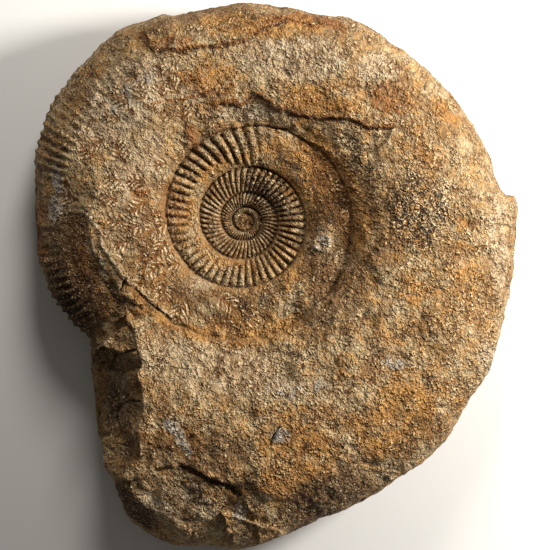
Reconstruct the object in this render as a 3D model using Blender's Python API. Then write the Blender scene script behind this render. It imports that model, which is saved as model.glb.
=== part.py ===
"""Ammonite fossil: a weathered, coiled stone mould lying flat on its flank.

The fossil is one closed solid.  A sphere's points are carried onto the shell's form: each point's
azimuth stays, and its polar angle runs from the middle of the upper flank, over the outer edge, to the
middle of the lower flank.  Lengths are millimetres until the mesh is made.  Azimuths are degrees,
clockwise seen from above, from +X, which is the way the shell grew.
"""

import bmesh
import bpy
import numpy as np

MM = 0.001
FULL_TURN = 360.0

# The coil.
COIL_AXIS = (-14.5, 23.1)
GROWTH_PER_DEGREE = 0.001578
CORE_GROWTH = 0.0019
CORE_TURN = -270.0
SEAM_RADIUS = 26.25
SEAM_OFFSET = 0.045
SEAM_OFFSET_AZIMUTH = 120.0
INNERMOST_RADIUS = 0.5
COVERED_WHORL_RATIO = 2.6
OUTER_RADIUS = 92.8
OUTER_RADIUS_AZIMUTH = 180.0
LAST_TURN_END = 184.0
STRIP_FLARE = 0.10
STRIP_FLARE_TURNS = (506.0, 542.0)
STRIP_START = (124.0, 140.0)
STRIP_BARE = (144.0, 152.0)
STRIP_TAPER = (170.0, 184.0)
STRIP_HEIGHT = 1.3
STRIP_FALL = 0.22
STRIP_WIDTH = (7.0, 13.0)
LOST_EDGE_AZIMUTHS = (86.0, 142.0)
LOST_EDGE_FADE = 8.0
LOST_EDGE_LEAST = 2.0
UNCOVERED_TURN = 100.0

# The whorl's cross-section: half-breadth over and under the coil's mid-plane.
HALF_BREADTH = 27.0
HALF_BREADTH_TURN = 360.0
BREADTH_GROWTH = 0.0012
CORE_HALF_BREADTH = 2.6
UNDERSIDE_WEAR = 0.20
UNDERSIDE_WEAR_TURNS = (150.0, 500.0)
NO_WHORL = -24.0
SEAM_LEVEL = 0.68
SHOULDER_SHARE = 0.38
GENTLE_SHOULDER = 0.42
GENTLE_TURNS = (415.0, 465.0)
SHOULDER_POWER = 0.85
EDGE_SHARE = 0.60
EDGE_POWER = 2.2

# The mid-plane leans a little, because the older side of the coil is thinner and still touches down.
MID_HEIGHT = 23.8
MID_LEAN_X = 0.012
MID_LEAN_Y = -0.024

# Outer edge seen from above: azimuth and radius from the coil's axis, round its chips and bumps.
OUTLINE = (
    (0, 120.2), (12, 120.7), (24, 123.8), (40, 128.6), (60, 133.3), (76, 136.1), (82, 139.7),
    (89, 143.6), (97, 145.2), (104, 146.7), (109, 143.6), (113, 137.9), (116, 130.4), (120, 124.2),
    (124, 115.2), (131, 102.6), (137, 93.3), (142, 86.4), (150, 88.2), (160, 91.0), (170, 92.6),
    (180, 92.8), (190, 94.1), (200, 98.1), (216, 99.7), (236, 100.6), (247, 99.2), (252, 95.9),
    (260, 94.8), (275, 97.0), (290, 97.7), (299, 101.7), (320, 104.9), (338, 109.4), (350, 114.0),
    (353.5, 116.4), (356.5, 120.9),
)

# Ribs: number in a turn, how far their outer ends run forward, and how far they stand up.
INNER_RIBS = 50.0
INNER_RIBS_GROWTH = 1.0
INNER_RIB_CORE_LEAN = 5.0
INNER_RIB_CORE_TURNS = (-470.0, -380.0)
INNER_RIB_LATE_LEAN = -9.0
INNER_RIB_LATE_TURNS = (-190.0, -110.0)
INNER_RIB_HEIGHT = 0.046
INNER_RIB_HEIGHT_START = 4.0
NUCLEUS_RADII = (3.5, 4.5)
INNER_RIB_CURVE = 1.2
INNER_RIB_SHARPNESS = 1.9
INNER_RIB_FLOOR = 0.55
INNER_RIB_RISE = 0.14
INNER_RIB_FALL = (0.90, 0.6)
INNER_RIBS_END = (-96.0, -66.0)
# Where the inner ribs are weaker: growth angles, how far they take to change, and how much weaker.
WEAK_RIBS = (-255.0, -172.0, 25.0, 0.15)
RIM_RIBS = 146.0
RIM_RIB_LEAN = 5.0
RIM_RIB_HEIGHT = 1.2
RIM_RIB_SHARPNESS = 2.0
RIM_RIB_FLOOR = 0.35
RIM_RIB_RADIUS = (77.0, 84.0)
RIM_RIB_STRENGTHS = (
    (138.0, 0.0), (148.0, 1.0), (164.0, 1.0), (172.0, 0.15), (188.0, 0.15), (195.0, 0.6), (215.0, 0.6),
    (250.0, 0.0),
)

# The broken mouth of the last whorl: the upper rim of the break, its slope, and its foot.
BREAK_EDGE = (
    (-100.0, -68.0), (-88.0, -68.0), (-84.0, -65.0), (-80.0, -60.5), (-69.0, -61.0), (-61.0, -59.0),
    (-52.0, -59.0), (-43.0, -61.5), (-39.0, -59.0), (-27.5, -62.0), (-18.0, -66.0), (-11.5, -67.0),
    (-2.0, -74.0), (3.0, -78.0), (12.0, -82.0), (17.5, -83.5), (26.5, -86.5),
)
BREAK_SLOPE = 1.8
BREAK_LIP = 1.6
BREAK_LIP_RUN = 0.8
BREAK_FACE_RUN = 2.4
# Blocks that the break left standing: corners, drop at the rim, and further drop outwards.
UPPER_BLOCK = (
    (-82.0, -28.0), (-76.5, -26.0), (-69.0, -22.5), (-62.0, -20.5), (-58.0, -32.0), (-59.0, -41.0),
    (-63.0, -40.0), (-66.5, -35.5), (-71.5, -36.5), (-76.0, -35.0), (-82.0, -37.5),
)
LOWER_BLOCK = (
    (-82.0, -72.0), (-77.0, -71.5), (-68.0, -71.5), (-63.0, -76.0), (-56.0, -76.0), (-60.0, -92.0),
    (-76.0, -90.0),
)
BREAK_BLOCKS = ((UPPER_BLOCK, 1.5, 0.20), (LOWER_BLOCK, 6.0, 0.90))
BREAK_BLOCK_RUN = 2.6
UNDER_BREAK_REACH = (4.0, 22.0)
UNDER_BREAK_LINE = (-32.0, -14.0)
FOOT_AZIMUTHS = (78.0, 112.0, 140.0, 147.0)
FOOT_DROP = 12.0
FOOT_ROUNDING = 3.0
SOUND_ROUNDING = 0.4

# Broken layers.  Each region has its corners, a step at its edge, the step's run, and a slope inwards.
TOP_LAYER = (
    (-62.0, 130.0), (-60.0, 106.0), (-55.0, 99.0), (-42.0, 98.0), (-35.5, 100.0), (-24.5, 99.5),
    (-14.0, 103.0), (-5.5, 108.5), (4.5, 112.0), (17.0, 109.0), (24.0, 111.0), (30.0, 130.0),
)
WORN_ZONE = (
    (-27.0, 74.5), (-19.0, 76.0), (-16.5, 73.5), (-8.5, 79.0), (2.0, 73.0), (7.5, 70.0), (18.0, 68.0),
    (31.0, 68.5), (40.0, 64.0), (51.5, 64.5), (44.0, 52.0), (24.0, 54.0), (6.0, 62.0), (-18.0, 65.0),
)
CORNER_BASIN = (
    (-63.0, -91.0), (-54.0, -85.0), (-44.0, -84.0), (-37.5, -85.0), (-30.0, -89.5), (-21.0, -92.5),
    (-16.0, -97.0), (-9.0, -109.0), (-4.0, -140.0), (-90.0, -140.0), (-90.0, -92.0),
)
CORNER_UNDERCUT = (
    (-70.0, -88.0), (-66.5, -95.5), (-55.0, -105.5), (-45.0, -110.0), (-40.0, -116.0), (-33.5, -118.5),
    (-28.0, -114.0), (-20.0, -114.0), (-20.0, -140.0), (-90.0, -140.0), (-90.0, -90.0),
)
CORNER_PLATES = (
    (-25.0, -104.0), (-12.0, -107.5), (3.0, -113.0), (4.0, -119.0), (-9.5, -123.0), (-22.0, -121.0),
)
LAYERS = (
    (TOP_LAYER, 1.3, 0.9, 0.0),
    (WORN_ZONE, -1.2, 1.0, 0.0),
    (CORNER_BASIN, -1.3, 0.8, 0.01),
    (CORNER_UNDERCUT, -0.8, 0.8, -1.10),
    (CORNER_PLATES, 3.2, 1.0, 0.0),
)
# Ridges: their points, height, half-width at the top and half-width at the foot.
CORNER_CREST = (
    (-68.3, -89.1), (-65.0, -98.5), (-55.0, -105.5), (-48.4, -108.0), (-44.0, -111.0), (-38.5, -116.5),
    (-25.2, -116.0),
)
STRIP_RIDGE = (
    (-85.7, 26.9), (-82.2, 24.7), (-78.5, 18.8), (-75.8, 10.8), (-71.7, 5.3), (-66.7, -2.0),
    (-60.1, -7.3), (-52.8, -14.1), (-46.1, -19.5),
)
RIDGES = ((CORNER_CREST, 1.1, 1.6, 6.4), (STRIP_RIDGE, 0.9, 0.3, 1.4))
# Ledges that die away behind their edge: their points, with the raised side on their right, and step.
STRIP_EDGE = (
    (-64.0, -12.0), (-69.0, -10.5), (-71.7, -4.6), (-73.5, -1.5), (-78.5, 2.6), (-81.3, 8.8),
    (-83.1, 16.1), (-84.0, 23.2),
)
MOUTH_LEDGE = (
    (-63.5, -8.0), (-64.1, -12.2), (-61.9, -14.4), (-57.9, -17.9), (-51.7, -21.4), (-40.7, -26.3),
    (-27.4, -29.4), (-11.9, -28.5), (3.5, -22.8),
)
LEDGES = ((STRIP_EDGE, 1.4), (MOUTH_LEDGE, 0.8))
LEDGE_RUN = 0.8
LEDGE_FADE = 9.0

# Small things fused to the flank: middle x and y, radius and height.
KNOBS = (
    (13.5, 113.0, 3.0, 1.6), (19.5, 111.0, 2.6, 1.4), (39.5, -52.0, 2.2, 1.0), (103.5, 33.0, 3.5, 1.4),
    (-30.0, 62.0, 5.5, 0.7), (-14.5, 23.1, 3.8, 1.2),
)
PITS = (
    (42.5, -51.5, 3.6, 1.3), (51.0, -86.0, 4.5, 1.0), (47.5, -91.0, 3.0, 0.9), (41.0, 59.5, 3.2, 0.8),
    (-20.0, -101.0, 4.0, 1.2),
)
OYSTER = (20.0, 13.5, 4.6)
OYSTER_HEIGHT = 0.9
OYSTER_DISH = 0.7
OYSTER_RIM = (0.8, 1.15)
OYSTER_BOWL = (0.2, 0.75)

# Weathering: size and height of each grade of lumps.
LUMPS = ((19.0, 1.1), (8.5, 0.7), (4.2, 0.45))
BREAK_LUMPS = ((11.0, 1.0), (5.0, 0.7))
BREAK_LUMP_RADII = (52.0, 90.0)
WEAR_RADII = (22.0, 34.0)

# Rows of points: spread evenly over the flank, and closer where the outer edge turns down.
EVEN_SHARE = 2.0 / 3.0
EVEN_REACH = 1.2
CLOSING_REACH = 1.8

# The mesh.
SPHERE_SEGMENTS = 80
SPHERE_RINGS = 28
SPHERE_SUBDIVISIONS = 3
UPPER_SHARE = 0.62
TRIANGLE_SHARE = 0.0348
REST_SNAP = 0.45
POLE_MARGIN = 0.0004
POLE_SHARE = 0.004
PROBE_STEP = 0.0006
TINY = 1e-9
SMOOTH_ANGLE = 50.0

STONE_COLOUR = (0.52, 0.39, 0.24, 1.0)
STONE_ROUGHNESS = 0.86


def clear_scene() -> None:
    """Remove every object that is already in the file."""
    for item in list(bpy.data.objects):
        bpy.data.objects.remove(item, do_unlink=True)


def smooth(low: float, high: float, value: np.ndarray) -> np.ndarray:
    """Rise from 0 at low to 1 at high, level at both ends."""
    share = np.clip((value - low) / (high - low), 0.0, 1.0)
    return share * share * (3.0 - 2.0 * share)


def rounded_edge(share: np.ndarray) -> np.ndarray:
    """Rise steeply from 0 and level off at share 1, as a rounded rim does."""
    inward = 1.0 - np.clip(share, 0.0, 1.0)
    return (1.0 - inward ** EDGE_POWER) ** (1.0 / EDGE_POWER)


def lattice_value(cell: np.ndarray, seed: int) -> np.ndarray:
    """Give each whole-number lattice point its own fixed value from -1 to 1."""
    mixed = cell[0] * 374761393 + cell[1] * 668265263 + cell[2] * 2147483647 + seed * 1274126177
    mixed = (mixed ^ (mixed >> 13)) & 0xFFFFFFFF
    mixed = (mixed * 1274126177) & 0xFFFFFFFF
    mixed = mixed ^ (mixed >> 16)
    return (mixed & 0xFFFF) / 32767.5 - 1.0


def lumps(points: np.ndarray, size: float, seed: int) -> np.ndarray:
    """Give smooth lumpy noise from -1 to 1 at points (3, N), with lumps of the given size."""
    scaled = points / size
    corner = np.floor(scaled).astype(np.int64)
    blend = scaled - corner
    blend = blend * blend * (3.0 - 2.0 * blend)
    total = np.zeros(points.shape[1])
    for step_x in (0, 1):
        for step_y in (0, 1):
            for step_z in (0, 1):
                step = np.array((step_x, step_y, step_z)).reshape(3, 1)
                weight = np.prod(np.where(step == 1, blend, 1.0 - blend), axis=0)
                total += weight * lattice_value(corner + step, seed)
    return total


def depth_inside(x: np.ndarray, y: np.ndarray, corners: tuple) -> np.ndarray:
    """Give the distance to a region's edge, positive inside it and negative outside."""
    nearest = np.full(x.shape, np.inf)
    inside = np.zeros(x.shape, dtype=bool)
    for (x0, y0), (x1, y1) in zip(corners, corners[1:] + corners[:1]):
        run_x = x1 - x0
        run_y = y1 - y0
        along = ((x - x0) * run_x + (y - y0) * run_y) / (run_x ** 2 + run_y ** 2)
        along = np.clip(along, 0.0, 1.0)
        gap = np.hypot(x - x0 - along * run_x, y - y0 - along * run_y)
        nearest = np.minimum(nearest, gap)
        if y0 != y1:
            crosses = (y0 > y) != (y1 > y)
            inside ^= crosses & (x < x0 + (y - y0) * run_x / run_y)
    return np.where(inside, nearest, -nearest)


def line_distance(x: np.ndarray, y: np.ndarray, points: tuple) -> tuple[np.ndarray, np.ndarray]:
    """Give the distance to a line through the points, and whether a place is on its right."""
    nearest = np.full(x.shape, np.inf)
    right = np.zeros(x.shape, dtype=bool)
    for (x0, y0), (x1, y1) in zip(points, points[1:]):
        run_x = x1 - x0
        run_y = y1 - y0
        along = ((x - x0) * run_x + (y - y0) * run_y) / (run_x ** 2 + run_y ** 2)
        along = np.clip(along, 0.0, 1.0)
        gap = np.hypot(x - x0 - along * run_x, y - y0 - along * run_y)
        right = np.where(gap < nearest, run_x * (y - y0) - run_y * (x - x0) < 0.0, right)
        nearest = np.minimum(nearest, gap)
    return nearest, right


def outline_radius(azimuth: np.ndarray) -> np.ndarray:
    """Give the outer edge's radius, on a curve through the points of OUTLINE."""
    knots = np.array(OUTLINE, dtype=float)
    angle = np.concatenate((knots[-2:, 0] - FULL_TURN, knots[:, 0], knots[:3, 0] + FULL_TURN))
    radius = np.concatenate((knots[-2:, 1], knots[:, 1], knots[:3, 1]))
    turn = np.mod(azimuth, FULL_TURN)
    index = np.clip(np.searchsorted(angle, turn, side="right") - 1, 1, len(angle) - 3)
    gap = angle[index + 1] - angle[index]
    share = (turn - angle[index]) / gap
    slope_0 = (radius[index + 1] - radius[index - 1]) / (angle[index + 1] - angle[index - 1]) * gap
    slope_1 = (radius[index + 2] - radius[index]) / (angle[index + 2] - angle[index]) * gap
    square = share * share
    cube = square * share
    return (
        (2 * cube - 3 * square + 1) * radius[index]
        + (cube - 2 * square + share) * slope_0
        + (3 * square - 2 * cube) * radius[index + 1]
        + (cube - square) * slope_1
    )


def seam_shift(azimuth: np.ndarray) -> np.ndarray:
    """Give the factor by which the seams lie off the coil's centre."""
    return 1.0 - SEAM_OFFSET * np.cos(np.radians(azimuth - SEAM_OFFSET_AZIMUTH))


def seam_radius(turn: np.ndarray) -> np.ndarray:
    """Give the radius of the seam at a whorl's inner edge, at a growth angle in degrees."""
    flare = 1.0 + STRIP_FLARE * smooth(STRIP_FLARE_TURNS[0], STRIP_FLARE_TURNS[1], turn)
    core = np.minimum(turn - CORE_TURN, 0.0) * (CORE_GROWTH - GROWTH_PER_DEGREE)
    return SEAM_RADIUS * np.exp(GROWTH_PER_DEGREE * turn + core) * seam_shift(turn) * flare


def whorl_number(radius: np.ndarray, azimuth: np.ndarray) -> np.ndarray:
    """Count the turns between the seam at growth angle 0 and the whorl that shows at each point."""
    grown = np.log(np.maximum(radius, INNERMOST_RADIUS) / (SEAM_RADIUS * seam_shift(azimuth)))
    core = np.minimum(grown - GROWTH_PER_DEGREE * CORE_TURN, 0.0)
    turn = (grown - core) / GROWTH_PER_DEGREE + core / CORE_GROWTH
    turns = np.floor((turn - azimuth) / FULL_TURN)
    return np.minimum(turns, np.where(azimuth < LAST_TURN_END, 1.0, 0.0))


def half_breadth(turn: np.ndarray, upper: np.ndarray) -> np.ndarray:
    """Give a whorl's half-breadth on its upper or lower side; the lower side is more worn."""
    breadth = HALF_BREADTH * np.exp(BREADTH_GROWTH * (turn - HALF_BREADTH_TURN))
    wear = 1.0 - UNDERSIDE_WEAR * smooth(UNDERSIDE_WEAR_TURNS[0], UNDERSIDE_WEAR_TURNS[1], turn)
    return np.hypot(breadth * np.where(upper, 1.0, wear), CORE_HALF_BREADTH)


def whorl_edge(azimuth: np.ndarray, whorl: np.ndarray, inner: np.ndarray) -> np.ndarray:
    """Give a whorl's outer radius: the outline where it shows, or the whole shell's where it doesn't."""
    turn = azimuth + FULL_TURN * whorl
    growth = np.exp(GROWTH_PER_DEGREE * (turn - OUTER_RADIUS_AZIMUTH))
    whole = np.where(turn < UNCOVERED_TURN, inner * COVERED_WHORL_RATIO, OUTER_RADIUS * growth)
    start, end = LOST_EDGE_AZIMUTHS
    lost = smooth(start - LOST_EDGE_FADE, start, azimuth) * (1.0 - smooth(end - 1.0, end, azimuth))
    edge = outline_radius(azimuth)
    outermost = whorl == np.where(azimuth < end, 1.0, 0.0)
    return np.where(outermost, edge + lost * np.maximum(whole - edge, LOST_EDGE_LEAST), whole)


def flank_level(
    radius: np.ndarray, azimuth: np.ndarray, whorl: np.ndarray, upper: np.ndarray
) -> np.ndarray:
    """Give how far one whorl's flank lies from the mid-plane, and a deep level beyond its edge."""
    turn = azimuth + FULL_TURN * whorl
    inner = seam_radius(turn)
    outer = whorl_edge(azimuth, whorl, inner)
    share = (radius - inner) / (outer - inner)
    gentle = smooth(GENTLE_TURNS[0], GENTLE_TURNS[1], turn)
    run = SHOULDER_SHARE + (GENTLE_SHOULDER - SHOULDER_SHARE) * gentle
    shoulder = np.sin(0.5 * np.pi * np.clip(share / run, 0.0, 1.0)) ** SHOULDER_POWER
    wall = SEAM_LEVEL + (1.0 - SEAM_LEVEL) * shoulder
    rim = rounded_edge((1.0 - share) / EDGE_SHARE)
    return np.where(share <= 1.0001, half_breadth(turn, upper) * wall * rim, NO_WHORL)


def break_distance(x: np.ndarray, y: np.ndarray, upper: np.ndarray) -> np.ndarray:
    """Give how far a point lies out beyond the rim of the broken mouth.

    The break slants, so its lower rim lies further out than its upper one.
    """
    heights = [point[0] for point in BREAK_EDGE]
    edges = [point[1] for point in BREAK_EDGE]
    near, far = UNDER_BREAK_REACH
    slant = far - (far - near) * smooth(UNDER_BREAK_LINE[0], UNDER_BREAK_LINE[1], y)
    return np.maximum(np.interp(y, heights, edges) - np.where(upper, 0.0, slant) - x, 0.0)


def break_drop(x: np.ndarray, y: np.ndarray, upper: np.ndarray) -> np.ndarray:
    """Give how far the break lies below the whorl's own level, less where a block still stands."""
    beyond = break_distance(x, y, upper)
    drop = BREAK_SLOPE * beyond + BREAK_LIP * smooth(0.0, BREAK_LIP_RUN, beyond)
    for corners, start, slope in BREAK_BLOCKS:
        standing = smooth(0.0, BREAK_BLOCK_RUN, depth_inside(x, y, corners)) * upper
        drop = drop + standing * np.minimum(start + slope * beyond - drop, 0.0)
    return drop


def body_level(
    x: np.ndarray, y: np.ndarray, radius: np.ndarray, azimuth: np.ndarray, upper: np.ndarray
) -> np.ndarray:
    """Give the level of the whorls together, with the last one broken off at its mouth.

    Along the seam beyond the mouth, only a thin strip of the last whorl is left on the older one.
    """
    whorl = whorl_number(radius, azimuth)
    newer = flank_level(radius, azimuth, whorl, upper)
    older = flank_level(radius, azimuth, whorl - 1.0, upper)
    past = np.maximum(radius - seam_radius(azimuth + FULL_TURN), 0.0)
    height = STRIP_HEIGHT * (1.0 - smooth(STRIP_TAPER[0], STRIP_TAPER[1], azimuth))
    low = older + height - STRIP_FALL * past
    narrow = 1.0 - smooth(STRIP_WIDTH[0], STRIP_WIDTH[1], past)
    strip = np.maximum(narrow, smooth(STRIP_BARE[0], STRIP_BARE[1], azimuth))
    strip = strip * smooth(STRIP_START[0], STRIP_START[1], azimuth)
    broken = strip * (low - newer) - break_drop(x, y, upper)
    return np.maximum(newer + np.where(whorl == 1.0, broken, 0.0), older)


def mid_plane(x: np.ndarray, y: np.ndarray) -> np.ndarray:
    """Give the height of the coil's mid-plane over the resting surface."""
    return MID_HEIGHT + MID_LEAN_X * x + MID_LEAN_Y * y


def layer_steps(x: np.ndarray, y: np.ndarray) -> np.ndarray:
    """Give the steps of the broken layers on the upper flank."""
    height = np.zeros(x.shape)
    for corners, step, run, slope in LAYERS:
        depth = depth_inside(x, y, corners)
        height += step * smooth(0.0, run, depth) + slope * np.maximum(depth, 0.0)
    for points, rise, top, foot in RIDGES:
        height += rise * (1.0 - smooth(top, foot, line_distance(x, y, points)[0]))
    for points, step in LEDGES:
        distance, raised = line_distance(x, y, points)
        rise = smooth(0.0, LEDGE_RUN, distance) * (1.0 - smooth(LEDGE_RUN, LEDGE_FADE, distance))
        height += step * np.where(raised, rise, 0.0)
    return height


def bare_form(azimuth: np.ndarray, polar: np.ndarray) -> np.ndarray:
    """Carry points of the sphere to the fossil's form before ribs and weathering.

    Args:
        azimuth: degrees from +X, clockwise seen from above.
        polar: 0 at the middle of the upper flank and 1 at the middle of the lower one.

    Returns:
        Points (3, N) in millimetres.
    """
    upper = polar <= UPPER_SHARE
    share = np.where(upper, polar / UPPER_SHARE, (1.0 - polar) / (1.0 - UPPER_SHARE))
    share = np.clip(share, POLE_MARGIN, 1.0)
    reach = np.where(share < EVEN_SHARE, EVEN_REACH * share, 1.0 - CLOSING_REACH * (1.0 - share) ** 2)
    turn = np.mod(azimuth, FULL_TURN)
    edge = outline_radius(turn)
    radius = reach * edge
    x = COIL_AXIS[0] + radius * np.cos(np.radians(turn))
    y = COIL_AXIS[1] - radius * np.sin(np.radians(turn))
    level = body_level(x, y, radius, turn, upper)
    level = level + np.where(upper, layer_steps(x, y), 0.0)
    foot = smooth(FOOT_AZIMUTHS[0], FOOT_AZIMUTHS[1], turn)
    foot = foot * (1.0 - smooth(FOOT_AZIMUTHS[2], FOOT_AZIMUTHS[3], turn))
    rounding = SOUND_ROUNDING + (FOOT_ROUNDING - SOUND_ROUNDING) * foot
    middle = mid_plane(x, y)
    rim = middle - FOOT_DROP * foot
    side = np.where(upper, 1.0, -1.0)
    level = np.maximum(level, side * (rim - middle))
    z = rim + (middle + side * level - rim) * rounded_edge((edge - radius) / rounding)
    return np.stack((x, y, z))


def form_normals(azimuth: np.ndarray, polar: np.ndarray, points: np.ndarray) -> np.ndarray:
    """Give the outward directions (3, N) of the bare form."""
    step_polar = np.where(polar < 0.5, PROBE_STEP, -PROBE_STEP)
    around = bare_form(azimuth + PROBE_STEP * FULL_TURN, polar) - points
    down = (bare_form(azimuth, polar + step_polar) - points) * np.sign(step_polar)
    normals = np.cross(around, down, axis=0)
    length = np.linalg.norm(normals, axis=0)
    flat = np.stack((length * 0.0, length * 0.0, np.where(polar < 0.5, 1.0, -1.0)))
    at_pole = (polar < POLE_SHARE) | (polar > 1.0 - POLE_SHARE)
    return np.where(at_pole, flat, normals / np.maximum(length, TINY))


def inner_ribs(radius: np.ndarray, azimuth: np.ndarray) -> np.ndarray:
    """Give the height of the ribs that cross the inner whorls."""
    whorl = whorl_number(radius, azimuth)
    turn = azimuth + FULL_TURN * whorl
    inner = seam_radius(turn)
    across = np.clip((radius - inner) / (seam_radius(turn + FULL_TURN) - inner), 0.0, 1.0)
    lean = INNER_RIB_CORE_LEAN * (1.0 - smooth(INNER_RIB_CORE_TURNS[0], INNER_RIB_CORE_TURNS[1], turn))
    lean = lean + INNER_RIB_LATE_LEAN * smooth(INNER_RIB_LATE_TURNS[0], INNER_RIB_LATE_TURNS[1], turn)
    forward = turn - lean * across ** INNER_RIB_CURVE
    count = INNER_RIBS + INNER_RIBS_GROWTH * (forward / FULL_TURN + 0.5)
    groove = 0.5 - 0.5 * np.cos(2.0 * np.pi * forward * count / FULL_TURN)
    crest = 1.0 - groove ** INNER_RIB_SHARPNESS
    fall_start, fall = INNER_RIB_FALL
    reach = smooth(0.0, INNER_RIB_RISE, across) * (1.0 - fall * smooth(fall_start, 1.0, across))
    fade = 1.0 - smooth(INNER_RIBS_END[0], INNER_RIBS_END[1], turn)
    fade = fade * smooth(NUCLEUS_RADII[0], NUCLEUS_RADII[1], radius)
    start, end, run, weaker = WEAK_RIBS
    weak = smooth(start - run, start, turn) * (1.0 - smooth(end, end + run, turn))
    height = INNER_RIB_HEIGHT * (radius + INNER_RIB_HEIGHT_START) * (1.0 - weaker * weak)
    return height * (crest - INNER_RIB_FLOOR) * reach * fade


def rim_ribs(radius: np.ndarray, azimuth: np.ndarray) -> np.ndarray:
    """Give the height of the finer ribs that run over the outer edge."""
    strengths = np.array(RIM_RIB_STRENGTHS)
    reach = smooth(RIM_RIB_RADIUS[0], RIM_RIB_RADIUS[1], radius)
    reach = reach * np.interp(azimuth, strengths[:, 0], strengths[:, 1])
    forward = azimuth - RIM_RIB_LEAN * (radius / RIM_RIB_RADIUS[0] - 1.0)
    crest = (0.5 + 0.5 * np.cos(2.0 * np.pi * forward * RIM_RIBS / FULL_TURN)) ** RIM_RIB_SHARPNESS
    return RIM_RIB_HEIGHT * reach * (crest - RIM_RIB_FLOOR)


def small_features(x: np.ndarray, y: np.ndarray) -> np.ndarray:
    """Give the knobs, the pits and the small oyster fused to the upper flank."""
    height = np.zeros(x.shape)
    for middle_x, middle_y, radius, rise in KNOBS:
        height += rise * (1.0 - smooth(0.0, radius, np.hypot(x - middle_x, y - middle_y)))
    for middle_x, middle_y, radius, drop in PITS:
        height -= drop * (1.0 - smooth(0.0, radius, np.hypot(x - middle_x, y - middle_y)))
    share = np.hypot(x - OYSTER[0], y - OYSTER[1]) / OYSTER[2]
    height += OYSTER_HEIGHT * (1.0 - smooth(OYSTER_RIM[0], OYSTER_RIM[1], share))
    height -= OYSTER_DISH * (1.0 - smooth(OYSTER_BOWL[0], OYSTER_BOWL[1], share))
    return height


def fossil_points(azimuth: np.ndarray, polar: np.ndarray) -> np.ndarray:
    """Give the finished surface's points (3, N): the form, its ribs and its weathering."""
    points = bare_form(azimuth, polar)
    normals = form_normals(azimuth, polar, points)
    x, y = points[0], points[1]
    radius = np.hypot(x - COIL_AXIS[0], y - COIL_AXIS[1])
    turn = np.mod(azimuth, FULL_TURN)
    relief = inner_ribs(radius, turn) + rim_ribs(radius, turn)
    relief += np.where(polar <= UPPER_SHARE, small_features(x, y), 0.0)
    wear = smooth(WEAR_RADII[0], WEAR_RADII[1], radius)
    for seed, (size, rise) in enumerate(LUMPS):
        relief += rise * wear * lumps(points, size, seed)
    upper = polar <= UPPER_SHARE
    face = smooth(0.0, BREAK_FACE_RUN, break_distance(x, y, upper))
    face = face * smooth(BREAK_LUMP_RADII[0], BREAK_LUMP_RADII[1], radius)
    face = face * upper * (turn < LOST_EDGE_AZIMUTHS[1])
    for seed, (size, rise) in enumerate(BREAK_LUMPS):
        relief += rise * face * lumps(points, size, seed + len(LUMPS))
    points = points + normals * relief
    points[2] = np.maximum(points[2], 0.0)
    return points


def stone_material() -> bpy.types.Material:
    """Make the plain weathered-stone material."""
    material = bpy.data.materials.new("weathered_stone")
    material.use_nodes = True
    shader = material.node_tree.nodes["Principled BSDF"]
    shader.inputs["Base Color"].default_value = STONE_COLOUR
    shader.inputs["Roughness"].default_value = STONE_ROUGHNESS
    shader.inputs["Metallic"].default_value = 0.0
    return material


def applied(item: bpy.types.Object) -> bpy.types.Mesh:
    """Give the mesh that an object's modifiers make, and remove the modifiers."""
    bpy.context.view_layer.update()
    mesh = bpy.data.meshes.new_from_object(item.evaluated_get(bpy.context.evaluated_depsgraph_get()))
    item.modifiers.clear()
    return mesh


def shape_sphere(item: bpy.types.Object) -> None:
    """Give an object a sphere's mesh and carry its points onto the fossil."""
    sphere = bmesh.new()
    bmesh.ops.create_uvsphere(sphere, u_segments=SPHERE_SEGMENTS, v_segments=SPHERE_RINGS, radius=1.0)
    sphere.to_mesh(item.data)
    sphere.free()
    divider = item.modifiers.new("grid", "SUBSURF")
    divider.subdivision_type = "SIMPLE"
    divider.levels = SPHERE_SUBDIVISIONS
    divider.render_levels = SPHERE_SUBDIVISIONS
    item.data = applied(item)
    flat = np.empty(len(item.data.vertices) * 3, dtype=np.float32)
    item.data.vertices.foreach_get("co", flat)
    unit = flat.reshape(-1, 3).T.astype(float)
    azimuth = np.mod(np.degrees(np.arctan2(-unit[1], unit[0])), FULL_TURN)
    polar = np.arctan2(np.hypot(unit[0], unit[1]), unit[2]) / np.pi
    points = fossil_points(azimuth, polar) * MM
    item.data.vertices.foreach_set("co", points.T.astype(np.float32).ravel())
    item.data.update()


def facet(item: bpy.types.Object) -> None:
    """Reduce the mesh to broad facets and set its lowest ones exactly on the resting surface."""
    reducer = item.modifiers.new("facets", "DECIMATE")
    reducer.ratio = TRIANGLE_SHARE
    reducer.use_collapse_triangulate = True
    item.data = applied(item)
    for vertex in item.data.vertices:
        if vertex.co.z < REST_SNAP * MM:
            vertex.co.z = 0.0
    item.data.shade_smooth()
    item.data.set_sharp_from_angle(angle=np.radians(SMOOTH_ANGLE))


def build_ammonite() -> bpy.types.Object:
    """Build the fossil and put it in the scene."""
    item = bpy.data.objects.new("ammonite", bpy.data.meshes.new("ammonite"))
    bpy.context.scene.collection.objects.link(item)
    shape_sphere(item)
    facet(item)
    item.data.materials.clear()
    item.data.materials.append(stone_material())
    return item


clear_scene()
build_ammonite()
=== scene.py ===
"""Ammonite fossil: the finished look of a weathered, coiled stone mould lying flat on its flank.

The stone is one closed piece. A sphere's points are carried onto the shell's form: each point's
azimuth stays, and its polar angle runs from the middle of the upper flank, over the outer edge, to the
middle of the lower flank. The form, its ribs, broken layers and weathering are worked out in
millimetres. Azimuths are degrees, clockwise seen from above, from +X, the way the shell grew, and a
growth angle is an azimuth plus 360 for each whorl.
"""

import logging
import math
from dataclasses import dataclass
from enum import Enum

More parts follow.
